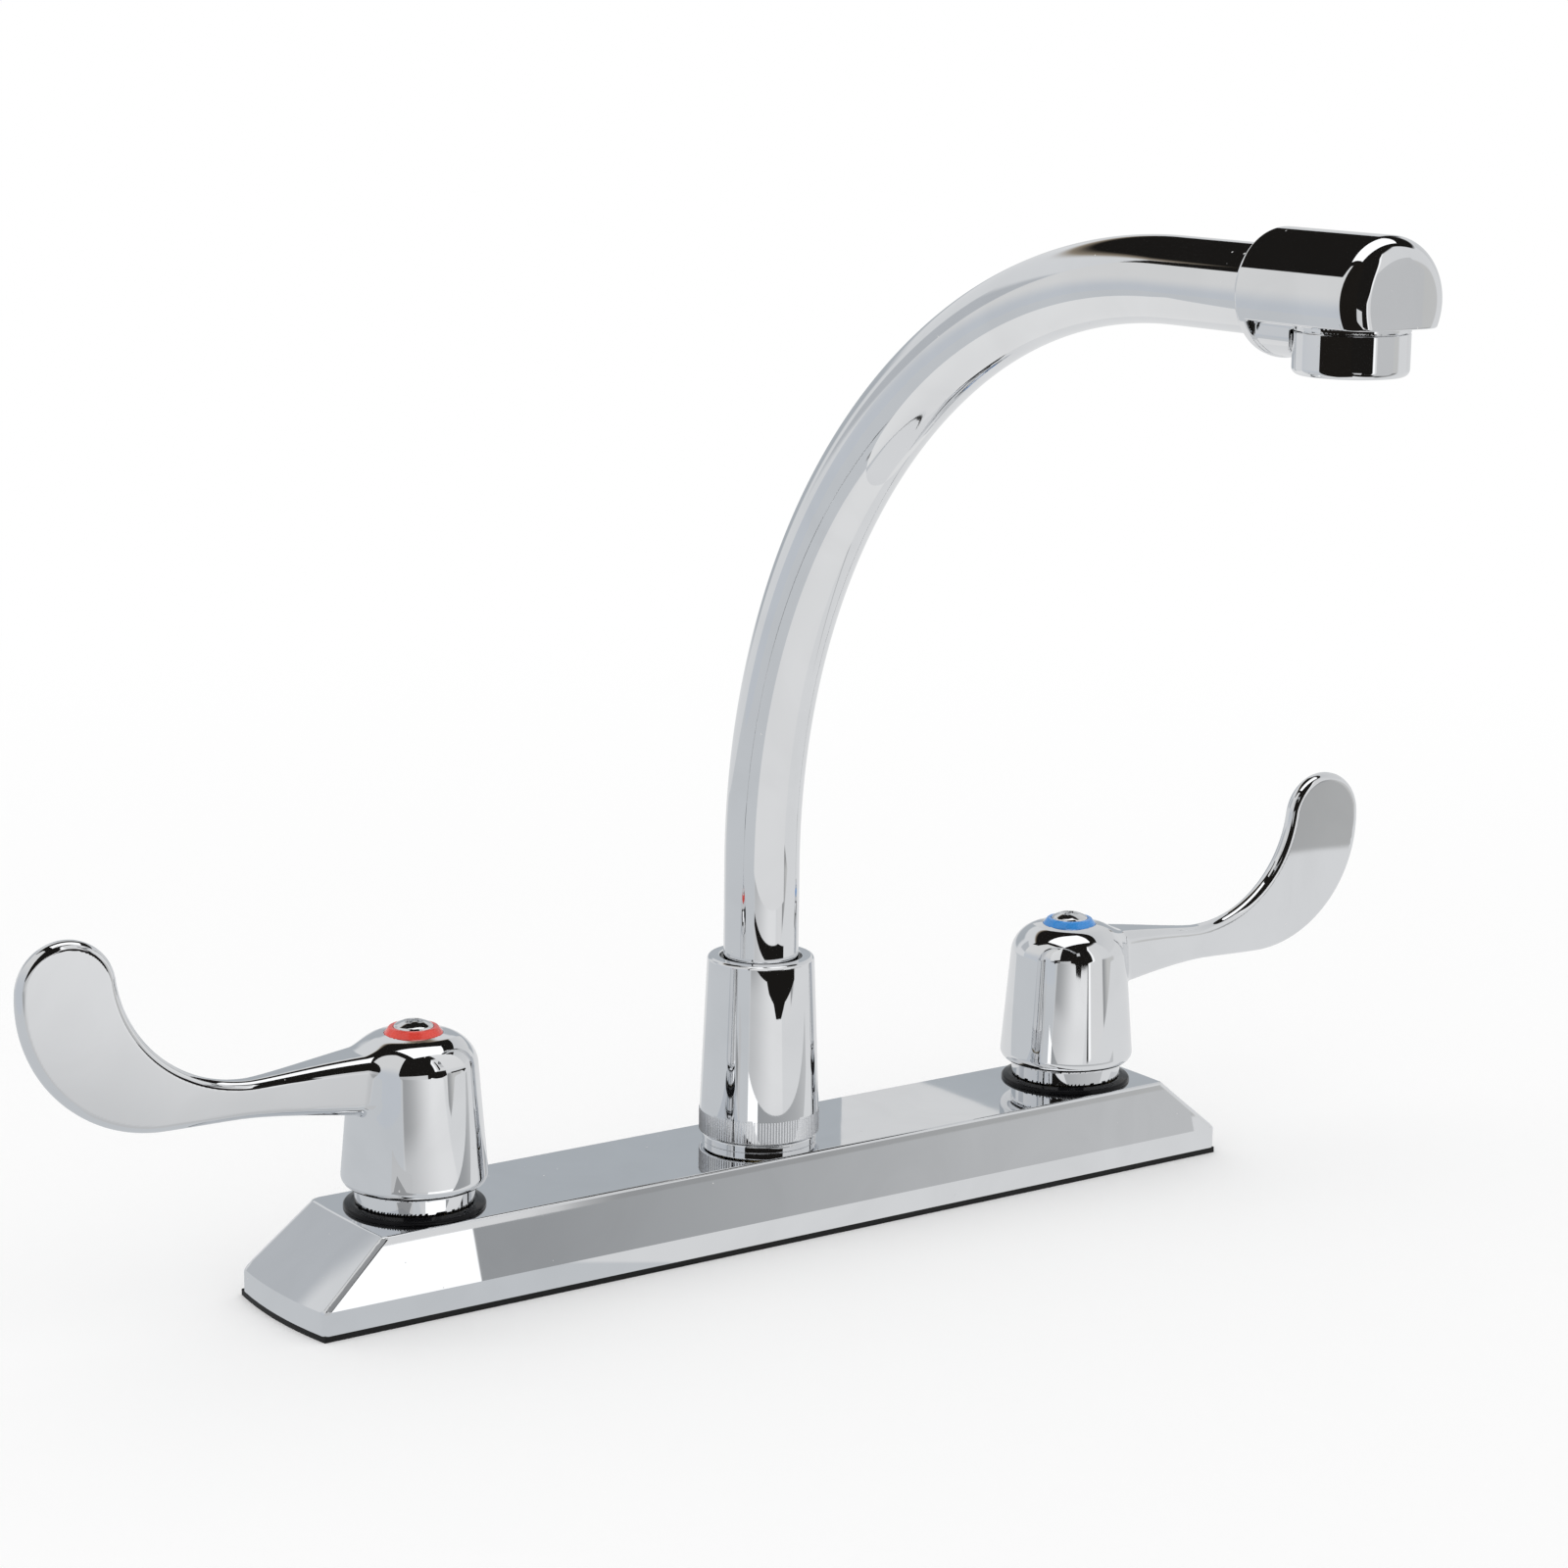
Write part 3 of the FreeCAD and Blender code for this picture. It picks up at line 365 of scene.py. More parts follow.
# Deck plate
# A long hollow cover, die cast, ground and polished, then plated with nickel and chrome. It sits
# on the gasket over both valve bodies and is held down by the ring nuts.
def plated(name, colour, roughness, satin=0.0):
    """Bright metal plate: faint waves of the polished metal below, wipe marks and a few specks of dust."""
    material = bpy.data.materials.new(name)
    tree = Tree(material)
    where = tree.node("TexCoord", output="Object")
    waves = tree.node("TexNoise", {}, {"Vector": where, "Scale": 55.0, "Detail": 1.0, "Roughness": 0.4})
    peel = tree.node("TexNoise", {}, {"Vector": where, "Scale": 420.0, "Detail": 2.0})
    wiped = tree.node("TexNoise", {}, {"Vector": where, "Scale": 38.0, "Detail": 4.0, "Distortion": 1.2})
    cells = {"Vector": where, "Scale": 520.0}
    gap = tree.node("TexVoronoi", {}, cells, "Distance")
    chance = tree.axes(tree.node("TexVoronoi", {}, cells, "Color"))[0]
    size = (chance - 0.91) * 1.7
    speck = (size - gap).step(0.0, 0.03)
    tint = tree.mix(wiped.step(0.3, 0.8), colour, tuple(0.955 * part for part in colour))
    tint = tree.mix(speck * 0.35, tint, (0.62, 0.60, 0.56))
    height = waves * 0.8 + peel * 0.012
    bump = tree.node("Bump", {}, {"Height": height, "Strength": 1.0, "Distance": 0.000012})
    rough = roughness + wiped.step(0.4, 0.9) * 0.025 + speck * 0.45 + satin
    tree.finish(tree.node("BsdfPrincipled", {}, {
        "Base Color": tint, "Metallic": 1.0 - speck * 0.6, "Roughness": rough, "Normal": bump}))
    return material


chrome = plated("chrome", (0.80, 0.81, 0.825), 0.025)
dress(chrome, "deck_plate")


# Valve bodies, locknuts and crossover tubes
# Brass bodies, bar stock turned and bored, with a threaded shank each. A washer and a hexagon
# nut pull each one down from below the deck; copper tubes lead the water to the spout's body.
def machined(name, colour, roughness, lines, axis=2):
    """Turned or drawn metal: fine tool lines along one axis, and slight tarnish."""
    material = bpy.data.materials.new(name)
    tree = Tree(material)
    where = tree.node("TexCoord", output="Object")
    stretch = [40.0, 40.0, 40.0]
    stretch[axis] = lines
    turned_lines = tree.node("Mapping", {}, {"Vector": where, "Scale": tuple(stretch)})
    tool = tree.node("TexNoise", {}, {"Vector": turned_lines, "Scale": 1.0, "Detail": 3.0})
    tarnish = tree.node("TexNoise", {}, {"Vector": where, "Scale": 90.0, "Detail": 5.0})
    dull = tuple(0.72 * part for part in colour)
    tint = tree.mix(tarnish.step(0.45, 0.75), colour, dull)
    bump = tree.node("Bump", {}, {"Height": tool, "Strength": 0.5, "Distance": 0.00003})
    tree.finish(tree.node("BsdfPrincipled", {}, {
        "Base Color": tint, "Metallic": 1.0, "Roughness": roughness + tool * 0.12, "Normal": bump}))
    return material


brass = machined("brass", (0.72, 0.56, 0.26), 0.18, 3500.0)
copper = machined("copper", (0.78, 0.45, 0.30), 0.22, 120.0, axis=0)
stainless = machined("stainless_steel", (0.66, 0.67, 0.68), 0.22, 2400.0)
for side in sides:
    dress(brass, side + "_valve_body", side + "_locknut", side + "_cartridge_housing", side + "_stem")
    dress(copper, side + "_crossover_tube")
    dress(stainless, side + "_shank_washer", side + "_retaining_clip")


# Cartridge discs
# Two lapped ceramic discs in each cartridge open and close the water way as one turns on the other.
def fired(name, colour):
    """Lapped alumina: off-white, very faintly mottled, half gloss."""
    material = bpy.data.materials.new(name)
    tree = Tree(material)
    where = tree.node("TexCoord", output="Object")
    mottle = tree.node("TexNoise", {}, {"Vector": where, "Scale": 700.0, "Detail": 4.0})
    tint = tree.mix(mottle, colour, tuple(0.9 * part for part in colour))
    tree.finish(tree.node("BsdfPrincipled", {}, {
        "Base Color": tint, "Roughness": 0.2 + mottle * 0.12}))
    return material


ceramic = fired("ceramic", (0.90, 0.90, 0.88))
for side in sides:
    dress(ceramic, side + "_fixed_disc", side + "_moving_disc")


# Black ring nuts
# Moulded in glossy black plastic. Each screws onto a valve body's neck, holds the plate down and
# shows as a black ring under the handle.
def moulded(name, colour, roughness, coat=0.0, gloss=0.5):
    """Glossy moulded plastic: faint flow marks, small scratches and a soft sheen."""
    material = bpy.data.materials.new(name)
    tree = Tree(material)
    where = tree.node("TexCoord", output="Object")
    flow = tree.node("TexNoise", {}, {"Vector": where, "Scale": 160.0, "Detail": 3.0, "Distortion": 0.8})
    scuffs = tree.node("TexNoise", {}, {"Vector": where, "Scale": 1800.0, "Detail": 4.0})
    tint = tree.mix(flow.step(0.35, 0.75), colour, tuple(0.84 * part for part in colour))
    bump = tree.node("Bump", {}, {"Height": flow + scuffs * 0.1, "Strength": 0.4, "Distance": 0.00002})
    tree.finish(tree.node("BsdfPrincipled", {}, {
        "Base Color": tint, "Roughness": roughness + scuffs.step(0.4, 0.8) * 0.12, "Coat Weight": coat,
        "Coat Roughness": 0.08, "Specular IOR Level": gloss, "Normal": bump}))
    return material


def rounded_outline(corners, steps=6):
    """Closed section from (radius, height, rounding) corners: each point with its outward direction.
    The corners run so that the metal is on their left."""
    count = len(corners)
    outline = []
    for index, (x, y, rounding) in enumerate(corners):
        before = Vector(corners[index - 1][:2])
        here = Vector((x, y))
        after = Vector(corners[(index + 1) % count][:2])
        inward = (here - before).normalized()
        onward = (after - here).normalized()
        normal_in = Vector((inward.y, -inward.x))
        normal_out = Vector((onward.y, -onward.x))
        if rounding <= 0:
            outline.append((here, normal_in))
            outline.append((here, normal_out))
            continue
        bend = inward.angle_signed(onward) * -1.0
        cut = rounding * math.tan(abs(bend) / 2)
        first = here - inward * cut
        side = 1.0 if bend > 0 else -1.0
        centre = first - normal_in * rounding * side
        for part in range(steps + 1):
            swing = Matrix.Rotation(bend * part / steps, 2)
            direction = swing @ normal_in
            outline.append((centre + direction * rounding * side, direction))
    return outline


def mesh_piece(name, points, faces, normals, material):
    """A mesh with its exact surface directions, so that polished metal mirrors without facets."""
    data = bpy.data.meshes.new(name)
    data.from_pydata([tuple(p) for p in points], [], [tuple(f) for f in faces])
    data.polygons.foreach_set("use_smooth", [True] * len(data.polygons))
    data.normals_split_custom_set_from_vertices([tuple(n) for n in normals])
    data.materials.append(material)
    piece = bpy.data.objects.new(name, data)
    bpy.context.scene.collection.objects.link(piece)
    return piece


def turned_piece(name, corners, material, place=(0.0, 0.0), segments=160):
    """A turned piece about a vertical axis, from its section in millimetres."""
    outline = rounded_outline(corners)
    angles = np.linspace(0, 2 * math.pi, segments, endpoint=False)
    points, normals, faces = [], [], []
    for (spot, direction) in outline:
        for angle in angles:
            c, s = math.cos(angle), math.sin(angle)
            points.append((place[0] + spot[0] * c / 1000, place[1] + spot[0] * s / 1000, spot[1] / 1000))
            normals.append((direction[0] * c, direction[0] * s, direction[1]))
    count = len(outline)
    for row in range(count):
        other = (row + 1) % count
        if (outline[row][0] - outline[other][0]).length < 1e-6:
            continue
        for column in range(segments):
            following = (column + 1) % segments
            faces.append((row * segments + column, row * segments + following,
                          other * segments + following, other * segments + column))
    return mesh_piece(name, points, faces, normals, material)


handle_half_spacing = 0.1016
places = {"hot": (-handle_half_spacing, 0.0), "cold": (handle_half_spacing, 0.0)}
plate_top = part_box("deck_plate")[1].z * 1000
ring_nut_radius = 17.3
ring_nut_bore = 12.95
ring_nut_crown = 15.4
ring_nut_side = 0.9
ring_nut_height = 1.4
black_plastic = moulded("black_plastic", (0.006, 0.006, 0.007), 0.12, gloss=0.12)
for side in sides:
    ring = turned_piece(side + "_ring_nut", [
        (ring_nut_bore, plate_top, 0), (ring_nut_radius, plate_top, 0.15),
        (ring_nut_radius, plate_top + ring_nut_side, 0.7), (ring_nut_crown, plate_top + ring_nut_height, 0.6),
        (ring_nut_bore, plate_top + ring_nut_height, 0)], black_plastic, places[side])
    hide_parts(side + "_base_ring")
    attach(ring, "base")


# Handles
# Hub, arm and wrist blade are one brass casting, polished and chrome plated, hollow below the hub
# and broached inside to fit the stem. The arm flows out of the hub and flattens into the blade.
# Its form is a distance in millimetres from the surface, below 0 inside the metal.
def round_and(first, second, radius):
    """Common part of two forms with a rounded edge."""
    over = np.hypot(np.maximum(first + radius, 0), np.maximum(second + radius, 0))
    return np.minimum(np.maximum(first, second), -radius) + over


def round_or(first, second, radius):
    """Two forms joined with a fillet."""
    under = np.hypot(np.maximum(radius - first, 0), np.maximum(radius - second, 0))
    return np.maximum(np.minimum(first, second), radius) - under


def without(form, hole, radius=0.0):
    return round_and(form, -hole, radius) if radius else np.maximum(form, -hole)


def upright(x, y, z, radius, low, high, centre=(0.0, 0.0)):
    """Upright cylinder as a distance."""
    around = np.hypot(x - centre[0], y - centre[1]) - radius
    ends = np.maximum(low - z, z - high)
    return np.maximum(around, ends)


def cast(name, form, low, high, step, material, turn=0.0, place=(0.0, 0.0)):
    """Mesh of a casting whose form is a distance in millimetres, looked for in cells of one step in the
    box from low to high. Points and directions come from the form."""
    rows = [np.arange(low[axis], high[axis] + step, step) for axis in range(3)]
    grid = np.meshgrid(*rows, indexing="ij")
    inside = form(*grid) < 0
    cells = [n - 1 for n in inside.shape]
    corners = np.zeros(cells, int)
    for i in (0, 1):
        for j in (0, 1):
            for k in (0, 1):
                corners += inside[i:i + cells[0], j:j + cells[1], k:k + cells[2]]
    crossed = (corners > 0) & (corners < 8)
    number = np.full(cells, -1)
    number[crossed] = np.arange(crossed.sum())
    points = np.argwhere(crossed) * step + np.array([r[0] for r in rows]) + step / 2
    faces = []
    for axis in range(3):
        a, b = [other for other in range(3) if other != axis]
        first = inside.take(range(cells[axis]), axis)
        second = inside.take(range(1, cells[axis] + 1), axis)
        edges = np.argwhere(first != second)
        edges = edges[(edges[:, a] > 0) & (edges[:, b] > 0)
                      & (edges[:, a] < cells[a]) & (edges[:, b] < cells[b])]
        into = first[tuple(edges.T)]
        loop = []
        for da, db in ((-1, -1), (0, -1), (0, 0), (-1, 0)):
            spot = edges.copy()
            spot[:, a] += da
            spot[:, b] += db
            loop.append(number[tuple(spot.T)])
        loop = np.stack(loop, 1)
        flip = into if axis != 1 else ~into
        loop[~flip] = loop[~flip][:, ::-1]
        faces.append(loop)
    faces = np.concatenate(faces)

    def direction(spots, reach):
        slope = []
        for axis in range(3):
            shift = np.zeros(3)
            shift[axis] = reach
            slope.append((form(*(spots + shift).T) - form(*(spots - shift).T)) / (2 * reach))
        return np.stack(slope, 1)

    for _ in range(6):
        slope = direction(points, 0.02)
        length = np.maximum((slope ** 2).sum(1), 0.2)
        move = form(*points.T)[:, None] * slope / length[:, None]
        points = points - np.clip(move, -step / 2, step / 2)
    normals = direction(points, 0.06)
    normals /= np.maximum(np.linalg.norm(normals, axis=1), 1e-9)[:, None]
    swing = np.array(Matrix.Rotation(turn, 3, "Z"))
    points = points @ swing.T / 1000 + np.array([place[0], place[1], 0.0])
    return mesh_piece(name, points.tolist(), faces.tolist(), (normals @ swing.T).tolist(), material)


hub_low = 24.9
hub_top = hub_low + 40.2
hub_radius = 18.0
hub_top_radius = 15.0
hub_shoulder = 5.8
hub_lower_round = 2.8
hub_foot_top = hub_low + 2.7
hub_foot_low = hub_low - 1.2
hub_foot_radius = 14.6
hub_foot_fillet = 0.25
hub_dome_drop = 1.6
hub_fillet = 1.8
hub_cavity_radius = 13.6
hub_cavity_top = hub_low + 22.4
stem_boss_radius = 7.4
stem_boss_low = 39.5
stem_bore_radius = 4.55
stem_bore_top = 52.5
screw_hole_radius = 2.6
index_radius = 7.1
index_seat = hub_top - hub_dome_drop
arm_low = hub_low + 25.2
arm_top = hub_low + 34.2
arm_length = 60.0
arm_flare = 8.0
arm_flare_limit = 5.0
arm_flare_power = 1.38
arm_root_drop = 2.3
arm_root_reach = 45.0
arm_root_length = arm_root_reach - hub_radius
arm_root_power = 1.3
arm_droop_start = 34.0
arm_root_widening = 9.7
arm_widening_power = 2.1
arm_side_slope = 0.34
arm_root_rounding = 2.6
arm_rounding_reach = 46.0
arm_rounding_power = 1.5
blade_tip = (86.8, hub_low + 60.8)
blade_tip_radius = 12.0
blade_outer = 34.6
blade_inner = 32.5
blade_half = 2.3
blade_edge_flat = 0.25
blade_low = arm_low - 0.6
outer_low = blade_low + blade_outer
inner_low = arm_top + blade_inner
outer_centre = (blade_tip[0] - math.sqrt((blade_outer - blade_tip_radius) ** 2
                                         - (blade_tip[1] - outer_low) ** 2), outer_low)
inner_centre = (blade_tip[0] - math.sqrt((blade_inner + blade_tip_radius) ** 2
                                         - (inner_low - blade_tip[1]) ** 2), inner_low)


def hub_form(x, y, z):
    """Hub: foot, rounded skirt, taper, round shoulder and shallow dome."""
    radius = np.hypot(x, y)
    lean = (hub_radius - hub_top_radius) / (index_seat - hub_foot_top)
    side = (radius - hub_radius + lean * (z - hub_foot_top)) / math.hypot(1, lean)
    dome = hub_dome_drop / (hub_top_radius - index_radius)
    top = (z - hub_top + dome * np.maximum(radius - index_radius, 0)) / math.hypot(1, dome)
    body = round_and(side, top, hub_shoulder)
    body = round_and(body, hub_foot_top - z, hub_lower_round)
    foot = upright(x, y, z, hub_foot_radius, hub_foot_low, hub_foot_top + 4.0)
    return round_or(body, foot, hub_foot_fillet)


def blade_form(x, y, z):
    """Arm and blade: the side view's outline and the plan's width, with a soft edge all round."""
    bulge = np.hypot(x - outer_centre[0], z - outer_centre[1]) - blade_outer
    onward = np.clip((x - arm_droop_start) / (outer_centre[0] - arm_droop_start), 0, 1)
    droop = (arm_low - blade_low) * onward ** 2 * (3 - 2 * onward)
    root = arm_root_drop * np.clip((arm_root_reach - x) / arm_root_length, 0, 1) ** arm_root_power
    below = np.where(x < outer_centre[0], arm_low - droop - root - z, bulge)
    hollow = blade_inner - np.hypot(x - inner_centre[0], z - inner_centre[1])
    back = np.clip((inner_centre[0] - x) / inner_centre[0], 0, 1)
    flare = arm_flare_limit * (1 - np.exp(-arm_flare / arm_flare_limit * back ** arm_flare_power))
    above = np.where(x < inner_centre[0], z - arm_top - flare, hollow)
    shape = np.maximum(below, above)
    tip_x, tip_z = x - blade_tip[0], z - blade_tip[1]
    from_outer = (blade_tip[0] - outer_centre[0], blade_tip[1] - outer_centre[1])
    to_inner = (inner_centre[0] - blade_tip[0], inner_centre[1] - blade_tip[1])
    at_tip = ((from_outer[0] * tip_z - from_outer[1] * tip_x > 0)
              & (tip_x * to_inner[1] - tip_z * to_inner[0] > 0))
    shape = np.where(at_tip, np.hypot(tip_x, tip_z) - blade_tip_radius, shape)
    rooted = 1 - np.clip(x / arm_length, 0, 1)
    wide = blade_half + arm_root_widening * rooted ** arm_widening_power
    near_root = 1 - np.clip(x / arm_rounding_reach, 0, 1)
    edge = blade_half - blade_edge_flat + arm_root_rounding * near_root ** arm_rounding_power
    side_slope = arm_side_slope * rooted ** (arm_widening_power - 1)
    flat = (np.abs(y) - wide) / np.sqrt(1 + side_slope ** 2)
    return np.maximum(round_and(shape, flat, edge), -x)


def handle_form(x, y, z):
    """The casting: hub and arm, hollow from below round the boss that takes the stem."""
    casting = round_or(hub_form(x, y, z), blade_form(x, y, z), hub_fillet)
    cavity = upright(x, y, z, hub_cavity_radius, hub_low - 2.0, hub_cavity_top)
    boss = upright(x, y, z, stem_boss_radius, stem_boss_low, hub_cavity_top + 10.0)
    casting = without(casting, without(cavity, boss))
    casting = without(casting, upright(x, y, z, stem_bore_radius, stem_boss_low - 2.0, stem_bore_top))
    casting = without(casting, upright(x, y, z, screw_hole_radius, stem_bore_top - 2.5, hub_top))
    return without(casting, upright(x, y, z, index_radius + 0.05, index_seat, hub_top + 3.0))


handle_turn = {"hot": math.radians(175.0), "cold": math.radians(-3.0)}
handle_room = ((-18.6, -18.6, hub_low - 1.8), (99.4, 18.6, 98.4))
handle_cell = 0.45
for side in sides:
    handle = cast(side + "_blade_handle", handle_form, *handle_room, handle_cell, chrome,
                  handle_turn[side], places[side])
    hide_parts(side + "_handle")
    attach(handle, side + "_lever")


# Index rings and handle screws
# A coloured plastic ring marks hot or cold in the seat on top of each hub. A domed, chrome plated
# screw with a cross recess holds ring and handle on the stem.
index_colours = {"hot": ("red_plastic", (0.76, 0.055, 0.035)), "cold": ("blue_plastic", (0.035, 0.26, 0.68))}
index_crown = 5.9
index_bore = 4.95
index_top = index_seat + 3.1
screw_seat = index_seat + 1.8
screw_radius = 4.9
screw_rim_top = screw_seat + 1.5
screw_dome_rise = 1.4
screw_dome_radius = (screw_radius ** 2 + screw_dome_rise ** 2) / (2 * screw_dome_rise)
screw_shank_radius = 2.0
screw_shank_low = screw_seat - 19.0
screw_rim_round = 0.5
screw_room = ((-5.2, -5.2, screw_shank_low - 0.3), (5.2, 5.2, screw_seat + 3.5))
screw_cell = 0.16
recess_low = screw_rim_top + screw_dome_rise - 1.9
recess_reach = 2.2
recess_turn = 0.5
recess_half = 0.45
recess_taper = 0.16
recess_edge_round = 0.12
screw_chrome = plated("screw_chrome", (0.76, 0.77, 0.78), 0.06)


def screw_form(x, y, z):
    """Domed head with a cross recess, and the shank below it."""
    dome_centre = screw_rim_top + screw_dome_rise - screw_dome_radius
    dome = np.sqrt(x * x + y * y + (z - dome_centre) ** 2) - screw_dome_radius
    head = round_and(np.maximum(np.hypot(x, y) - screw_radius, screw_seat - z), dome, screw_rim_round)
    taper = recess_taper * (z - recess_low)
    along = np.abs(x) - recess_reach - taper, np.abs(y) - recess_half - taper
    across = np.abs(y) - recess_reach - taper, np.abs(x) - recess_half - taper
    bars = np.minimum(np.maximum(*along), np.maximum(*across))
    head = without(head, np.maximum(bars, recess_low - z), recess_edge_round)
    return np.minimum(head, upright(x, y, z, screw_shank_radius, screw_shank_low, screw_seat + 0.5))


for side in sides:
    slot, colour = index_colours[side]
    plastic = moulded(slot, colour, 0.22, coat=0.3)
    ring = turned_piece(side + "_colour_ring", [
        (screw_hole_radius, index_seat, 0), (index_radius, index_seat, 0),
        (index_radius, index_seat + 1.4, 0.35), (index_crown, index_top, 0.6), (index_bore, index_top, 0.1),
        (index_bore, screw_seat, 0), (screw_hole_radius, screw_seat, 0)], plastic, places[side], 96)
    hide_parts(side + "_index_ring")
    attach(ring, side + "_lever")
    screw = cast(side + "_dome_screw", screw_form, *screw_room, screw_cell, screw_chrome,
                 handle_turn[side] + recess_turn, places[side])
    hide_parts(side + "_handle_screw")
    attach(screw, side + "_lever")


# Spout body and sleeve nut
# The brass spout body stands between the valves. A thin plated ring holds the plate there, and
# over it a tapered sleeve nut, knurled at its foot for the fingers, keeps the spout's bushing in.
dress(brass, "spout_hub_body", "spout_bushing")
sleeve_bore = 12.55
thin_ring_radius = 14.6
ring_top = plate_top + 2.0
thin_ring = turned_piece("thin_ring", [
    (sleeve_bore, plate_top, 0), (thin_ring_radius, plate_top, 0.15),
    (thin_ring_radius, ring_top, 0.6), (sleeve_bore, ring_top, 0)], chrome)
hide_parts("spout_base_ring")
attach(thin_ring, "base")

nut_low = ring_top + 0.3
nut_top = 70.3
nut_top_radius = 13.6
lip_bore = 10.425
lip_low = nut_top - 3.3
knurl_top = nut_low + 6.3
knurl_radius = 15.45
knurl_count = 128
knurl_depth = 0.18
foot_radius = knurl_radius - knurl_depth
satin_chrome = plated("satin_chrome", (0.74, 0.75, 0.77), 0.02, satin=0.26)
nut = turned_piece("sleeve_nut", [
    (sleeve_bore, nut_low, 0.2), (foot_radius, nut_low, 0.4), (foot_radius, knurl_top, 0),
    (nut_top_radius, nut_top, 1.0), (lip_bore, nut_top, 0.4), (lip_bore, lip_low, 0),
    (sleeve_bore, lip_low, 0)], chrome, segments=192)
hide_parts("spout_nut")
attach(nut, "base")


class Growth:
    """A geometry node tree with named inputs, turned into a plain mesh at the end."""

    def __init__(self, name, **sizes):
        self.tree = bpy.data.node_groups.new(name, "GeometryNodeTree")
        self.sizes = sizes
        self.sockets = {}
        for size, value in sizes.items():
            kind = "NodeSocketInt" if isinstance(value, int) else "NodeSocketFloat"
            self.sockets[size] = self.tree.interface.new_socket(size, in_out="INPUT", socket_type=kind)
        self.tree.interface.new_socket("Geometry", in_out="OUTPUT", socket_type="NodeSocketGeometry")
        self.inputs = self.tree.nodes.new("NodeGroupInput")

    def node(self, kind, settings=None, sockets=None, output=0):
        made = self.tree.nodes.new(kind)
        for name, value in (settings or {}).items():
            setattr(made, name, value)
        for name, value in (sockets or {}).items():
            if isinstance(value, bpy.types.NodeSocket):
                self.tree.links.new(value, made.inputs[name])
            elif isinstance(value, str):
                self.tree.links.new(self.inputs.outputs[value], made.inputs[name])
            else:
                made.inputs[name].default_value = value
        return made.outputs[output]

    def piece(self, name, geometry, material):
        """Plain mesh object of what the tree makes."""
        whole = self.node("GeometryNodeRealizeInstances", {}, {"Geometry": geometry})
        whole = self.node("GeometryNodeSetMaterial", {}, {"Geometry": whole, "Material": material})
        self.tree.links.new(whole, self.tree.nodes.new("NodeGroupOutput").inputs[0])
        holder = bpy.data.objects.new(name, bpy.data.meshes.new(name))
        bpy.context.scene.collection.objects.link(holder)
        modifier = holder.modifiers.new("growth", "NODES")
        modifier.node_group = self.tree
        for size, value in self.sizes.items():
            modifier[self.sockets[size].identifier] = value
        bpy.context.view_layer.update()
        evaluated = holder.evaluated_get(bpy.context.evaluated_depsgraph_get())
        mesh = bpy.data.meshes.new_from_object(evaluated)
        holder.modifiers.clear()
        holder.data = mesh
        return holder


ridge_height = (knurl_top - nut_low - 0.7) / 1000
knurl = Growth("straight_knurl", Count=knurl_count, Radius=foot_radius / 1000 - 0.00004, Height=ridge_height,
               Ridge=(knurl_depth + 0.04) / 1000)
circle = knurl.node("GeometryNodeMeshCircle", {"fill_type": "NONE"}, {"Vertices": "Count", "Radius": "Radius"})
circle = knurl.node("GeometryNodeTransform", {}, {
    "Geometry": circle, "Translation": (0.0, 0.0, (nut_low + knurl_top - 0.1) / 2000)})
ridge = knurl.node("GeometryNodeMeshCone", {"fill_type": "TRIANGLE_FAN"}, {
    "Vertices": 4, "Radius Top": "Ridge", "Radius Bottom": "Ridge", "Depth": "Height"})
ridge = knurl.node("GeometryNodeTransform", {}, {
    "Geometry": ridge, "Translation": (0.0, 0.0, -ridge_height / 2)})
points = knurl.node("GeometryNodeInstanceOnPoints", {}, {"Points": circle, "Instance": ridge})
knurl_piece = knurl.piece("knurl", points, satin_chrome)
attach(knurl_piece, "base")


# Spout
# Brass tube, 19 mm across, bent in two sweeps and chrome plated. Its foot turns in the body on a
# brass bushing with two O-rings; a white plastic washer lies under the sleeve nut's lip.
dress(moulded("white_plastic", (0.86, 0.86, 0.84), 0.35), "spout_thrust_washer", "aerator_insert")
tube_radius = 9.525
tube_wall = 1.2
tube_foot = 31.0
spout_rise = 251.0
spout_reach = 205.0
lower_bend_radius = 159.0
lower_bend_angle = math.radians(58.4)
upper_bend_radius = 145.0
head_rear = spout_reach - 21.7
tube_socket = 9.0


def spout_line():
    """Middle line of the spout: (y, z) and its direction's angle from upright, foot to head."""
    upper_rise = upper_bend_radius * (1 - math.sin(lower_bend_angle))
    straight_top = spout_rise - upper_rise - lower_bend_radius * math.sin(lower_bend_angle)
    line = [(0.0, z, 0.0) for z in np.linspace(tube_foot, straight_top, 12)]
    for angle in np.linspace(0, lower_bend_angle, 90)[1:]:
        line.append((-lower_bend_radius * (1 - math.cos(angle)),
                     straight_top + lower_bend_radius * math.sin(angle), angle))
    upper_y = line[-1][0] - upper_bend_radius * math.cos(lower_bend_angle)
    for angle in np.linspace(lower_bend_angle, math.pi / 2, 60)[1:]:
        line.append((upper_y + upper_bend_radius * math.cos(angle),
                     spout_rise - upper_bend_radius * (1 - math.sin(angle)), angle))
    for y in np.linspace(upper_y, -head_rear - tube_socket, 12)[1:]:
        line.append((y, spout_rise, math.pi / 2))
    return line


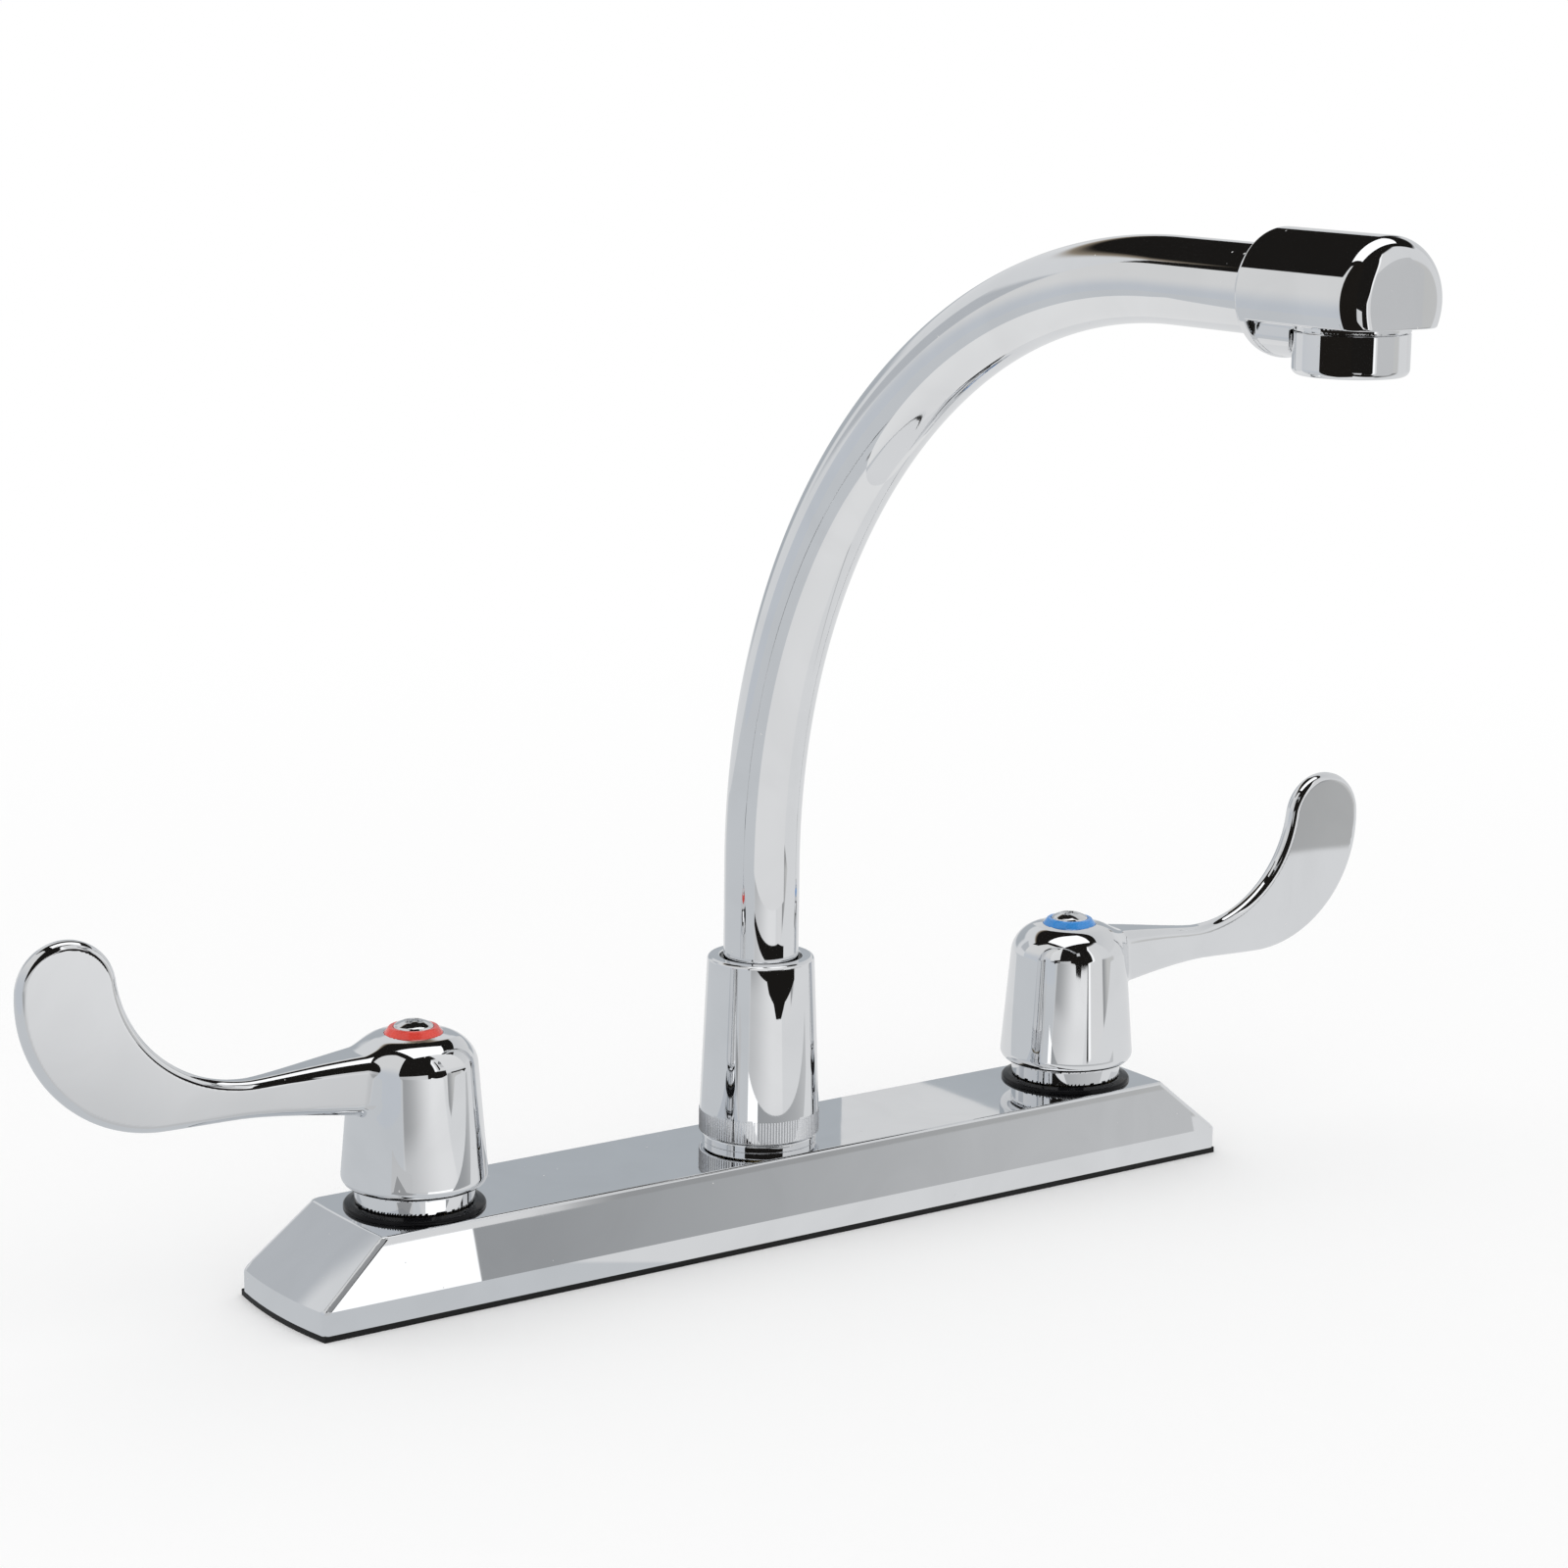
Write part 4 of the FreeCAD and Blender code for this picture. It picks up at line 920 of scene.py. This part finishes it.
def swept_tube(name, line, outer, inner, material, segments=112):
    """Tube along a line in the middle plane, open at both ends, with its wall closed there."""
    points, normals, faces = [], [], []
    skins = [(outer, 1.0, line), (inner, -1.0, line[::-1])]
    for radius, side, path in skins:
        for y, z, angle in path:
            for around in np.linspace(0, 2 * math.pi, segments, endpoint=False):
                out = (math.cos(around), math.sin(around) * math.cos(angle), math.sin(around) * math.sin(angle))
                points.append((out[0] * radius / 1000, (y + out[1] * radius) / 1000,
                               (z + out[2] * radius) / 1000))
                normals.append(tuple(side * part for part in out))
    rows = 2 * len(line)
    for row in range(rows):
        other = (row + 1) % rows
        for column in range(segments):
            following = (column + 1) % segments
            faces.append((row * segments + column, row * segments + following,
                          other * segments + following, other * segments + column))
    return mesh_piece(name, points, faces, normals, material)


tube = swept_tube("bent_tube", spout_line(), tube_radius, tube_radius - tube_wall, chrome)
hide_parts("spout_tube")
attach(tube, "spout")


# Spout head
# A cast and plated outlet body brazed to the tube's end: a lying cylinder with a rounded nose,
# cut level below so that the aerator's cup screws up into it.
head_radius = 13.39
head_nose = 14.8
head_nose_round = 5.2
head_rear_round = 1.2
head_disc_front = head_rear + 3.2
shelf = spout_rise - 5.3
shelf_edge_round = 0.35
belly_half = 9.8
belly_rear = head_disc_front - 1.0
belly_inset = 0.15
belly_narrowing = 3.0
belly_narrow_drop = 4.0
belly_edge_round = 0.5
belly_fillet = 0.8
boss_low = shelf - 1.1
boss_radius = 12.0
boss_shoulder = 0.5
boss_edge_round = 0.2
thread_radius = 10.95
thread_top = 249.4
waterway_radius = 7.6


def head_form(x, y, z):
    """Lying cylinder with a round nose, cut level below; belly and boss under it, bored from both ends."""
    ahead = -y
    up = z - spout_rise
    around = np.hypot(x, up)
    outlet_axis = (0.0, spout_reach)
    body = round_and(around - head_radius, ahead - spout_reach - head_nose, head_nose_round)
    body = round_and(body, head_rear - ahead, head_rear_round)
    body = without(body, np.maximum(z - shelf, head_disc_front - ahead), shelf_edge_round)
    narrower = np.clip(up + belly_narrow_drop, 0, belly_narrowing)
    belly = round_and(around - head_radius + belly_inset + narrower, np.abs(x) - belly_half, belly_edge_round)
    belly = np.maximum(belly, np.maximum(belly_rear - ahead, ahead - spout_reach))
    body = round_or(body, belly, belly_fillet)
    room_below = upright(x, ahead, z, boss_radius + boss_shoulder, spout_rise - 30, boss_low, outlet_axis)
    body = without(body, room_below, boss_edge_round)
    body = np.minimum(body, upright(x, ahead, z, boss_radius, boss_low, spout_rise, outlet_axis))
    body = without(body, np.maximum(around - tube_radius - 0.05, ahead - head_rear - tube_socket))
    body = without(body, np.maximum(around - tube_radius + tube_wall, ahead - spout_reach))
    body = without(body, upright(x, ahead, z, thread_radius, boss_low - 1, thread_top, outlet_axis))
    return without(body, upright(x, ahead, z, waterway_radius, boss_low, spout_rise, outlet_axis))


head_room = ((-14.0, -spout_reach - 15.4, spout_rise - 14.0), (14.0, -head_rear + 0.6, spout_rise + 14.0))
head_cell = 0.34
head = cast("outlet_head", head_form, *head_room, head_cell, chrome)
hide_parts("spout_head")
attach(head, "spout")


# Aerator
# A plated cup with a male thread, screwed up into the head against a rubber washer. It holds the
# plastic flow straightener and the steel screen.
cup_radius = 12.0
cup_top = boss_low - 0.2
cup_low = cup_top - 8.9
cup_floor = cup_low + 1.0
cup_bore = 9.2
outlet_radius = 8.2
cup_thread_radius = 10.9
cup_thread_top = cup_top + 3.6
cup = turned_piece("aerator_cup", [
    (outlet_radius, cup_low, 0.3), (cup_radius, cup_low, 1.6), (cup_radius, cup_top, 0.25),
    (cup_thread_radius, cup_top, 0), (cup_thread_radius, cup_thread_top, 0.2), (cup_bore, cup_thread_top, 0),
    (cup_bore, cup_floor, 0), (outlet_radius, cup_floor, 0)], chrome, (0.0, -spout_reach / 1000))
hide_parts("aerator_housing")
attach(cup, "spout")
dress(stainless, "aerator_screen")
